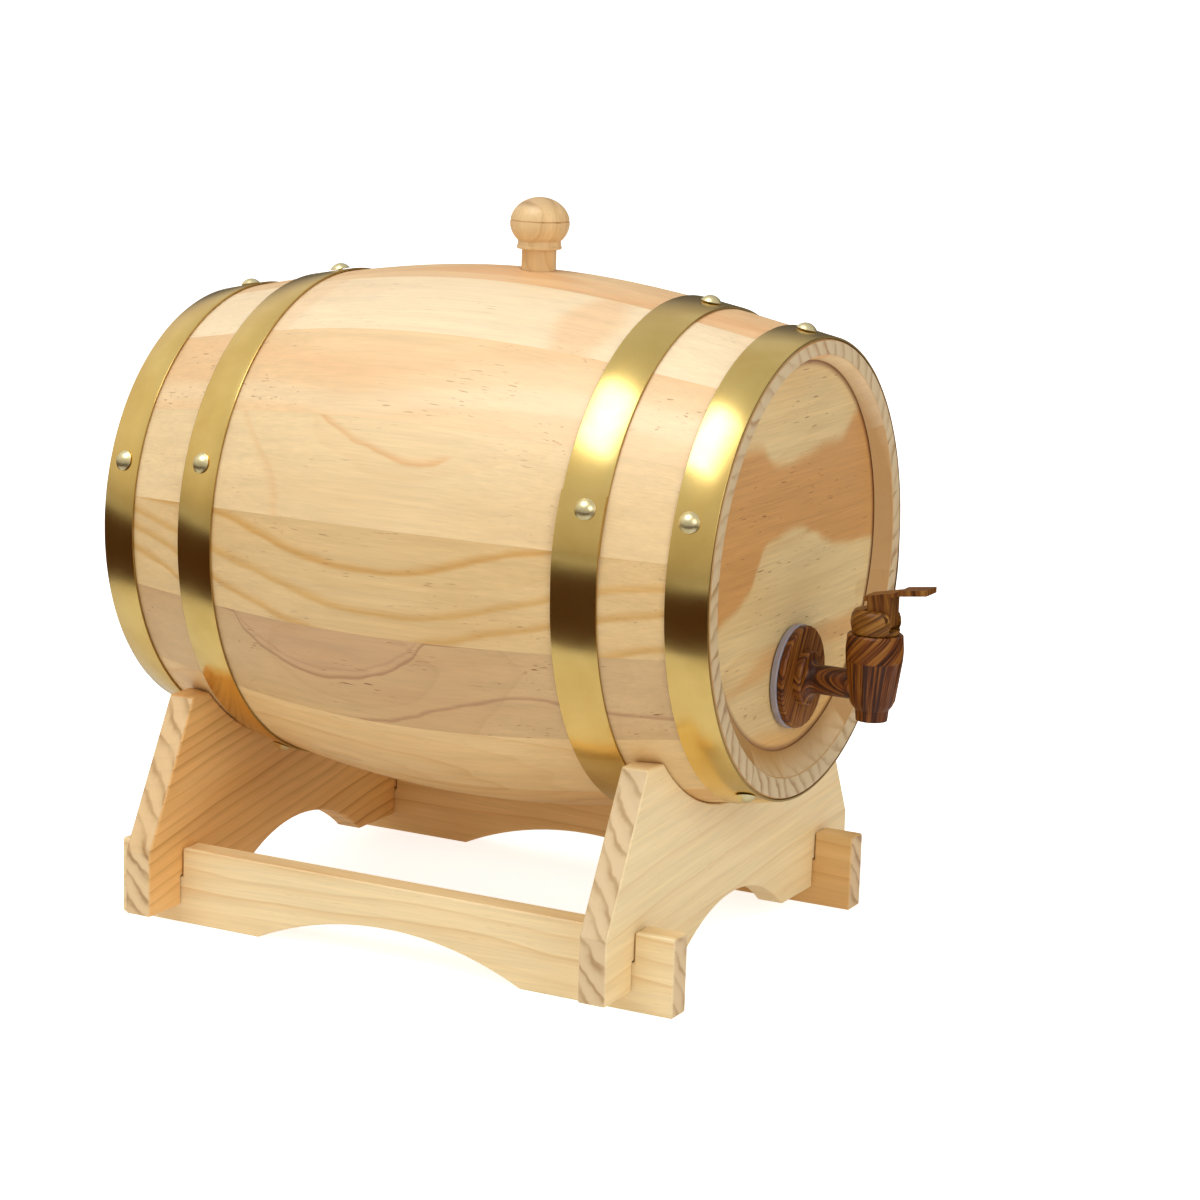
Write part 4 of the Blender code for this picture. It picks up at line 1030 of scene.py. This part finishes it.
def aim(holder, place, target):
    """Puts an object at place with its -Z side towards the target."""
    holder.location = place
    holder.rotation_mode = "QUATERNION"
    holder.rotation_quaternion = (Vector(target) - Vector(place)).to_track_quat("-Z", "Y")


def softbox(name, place, target, size, watts):
    """A square area lamp at place that faces the target."""
    lamp = bpy.data.lights.new(name, "AREA")
    lamp.shape = "SQUARE"
    lamp.size = size
    lamp.energy = watts
    holder = bpy.data.objects.new(name, lamp)
    aim(holder, place, target)
    bpy.context.scene.collection.objects.link(holder)


def glow_card(name, place, target, width, depth, strength):
    """A white card that only reflections see. It gives the hoops the broad soft highlight of a large window."""
    shape = bmesh.new()
    corners = [shape.verts.new((x * width / 2, y * depth / 2, 0)) for x, y in ((-1, -1), (1, -1), (1, 1), (-1, 1))]
    shape.faces.new(corners)
    paint, tree = new_finish(name + "_paper")
    spot = tree.nodes.new("ShaderNodeSeparateXYZ")
    tree.links.new(add_node(tree, "TexCoord", out="Object"), spot.inputs[0])
    # Brightest in the middle, and fading towards its two long edges
    off = maths(tree, "ABSOLUTE", spot.outputs["X"])
    power = remap(tree, off, width * 0.08, width / 2, strength, 0.6, interpolation_type="SMOOTHSTEP")
    add_node(
        tree, "OutputMaterial",
        {"Surface": add_node(tree, "Emission", {"Color": colour("#FFFFFF"), "Strength": power})},
    )
    card = placed(name, shape, paint)
    aim(card, place, target)
    only_in_reflections(card)


cask_centre = (0, cask_middle, axis_height)
window_x, window_y = -0.68, 0.24 + cask_middle
glow_card("window_card", (window_x, window_y, 1.66), cask_centre, 1.7, 0.9, 5.2)
softbox("softbox_left", (window_x, window_y, 1.69), cask_centre, 0.75, 9.4)
softbox("softbox_camera", (-0.7, -1.6, 1.0), cask_centre, 0.9, 7.6)
print("sky is", colour("#FFFFFF")[:3], "where the camera sees it")

# %% [markdown]
# The camera was solved from the hoops, the head and the stand's edges. Its angles are in radians.

# %% Camera
yaw, pitch, roll = 0.4770933, -0.2019417, -0.0317825
lens = bpy.data.cameras.new("camera")
focal_length_px, photo_width_px = 3263.484, 1200
lens.sensor_width = 36.0
lens.lens = focal_length_px / photo_width_px * 36
camera = bpy.data.objects.new("camera", lens)
bpy.context.scene.collection.objects.link(camera)
ahead = Vector((cos(yaw) * cos(pitch), sin(yaw) * cos(pitch), sin(pitch)))
right = Vector((sin(yaw), -cos(yaw), 0))
down = ahead.cross(right)
level_right = right * cos(roll) + down * sin(roll)
level_down = down * cos(roll) - right * sin(roll)
stand_point = Matrix((level_right, -level_down, -ahead)).transposed().to_4x4()
stand_point.translation = Vector((-1.054339, -0.585542 + cask_middle, 0.368697))
camera.matrix_world = stand_point
bpy.context.scene.camera = camera
bpy.context.scene.view_settings.view_transform = "Standard"
print("lens", round(lens.lens, 1), "mm")
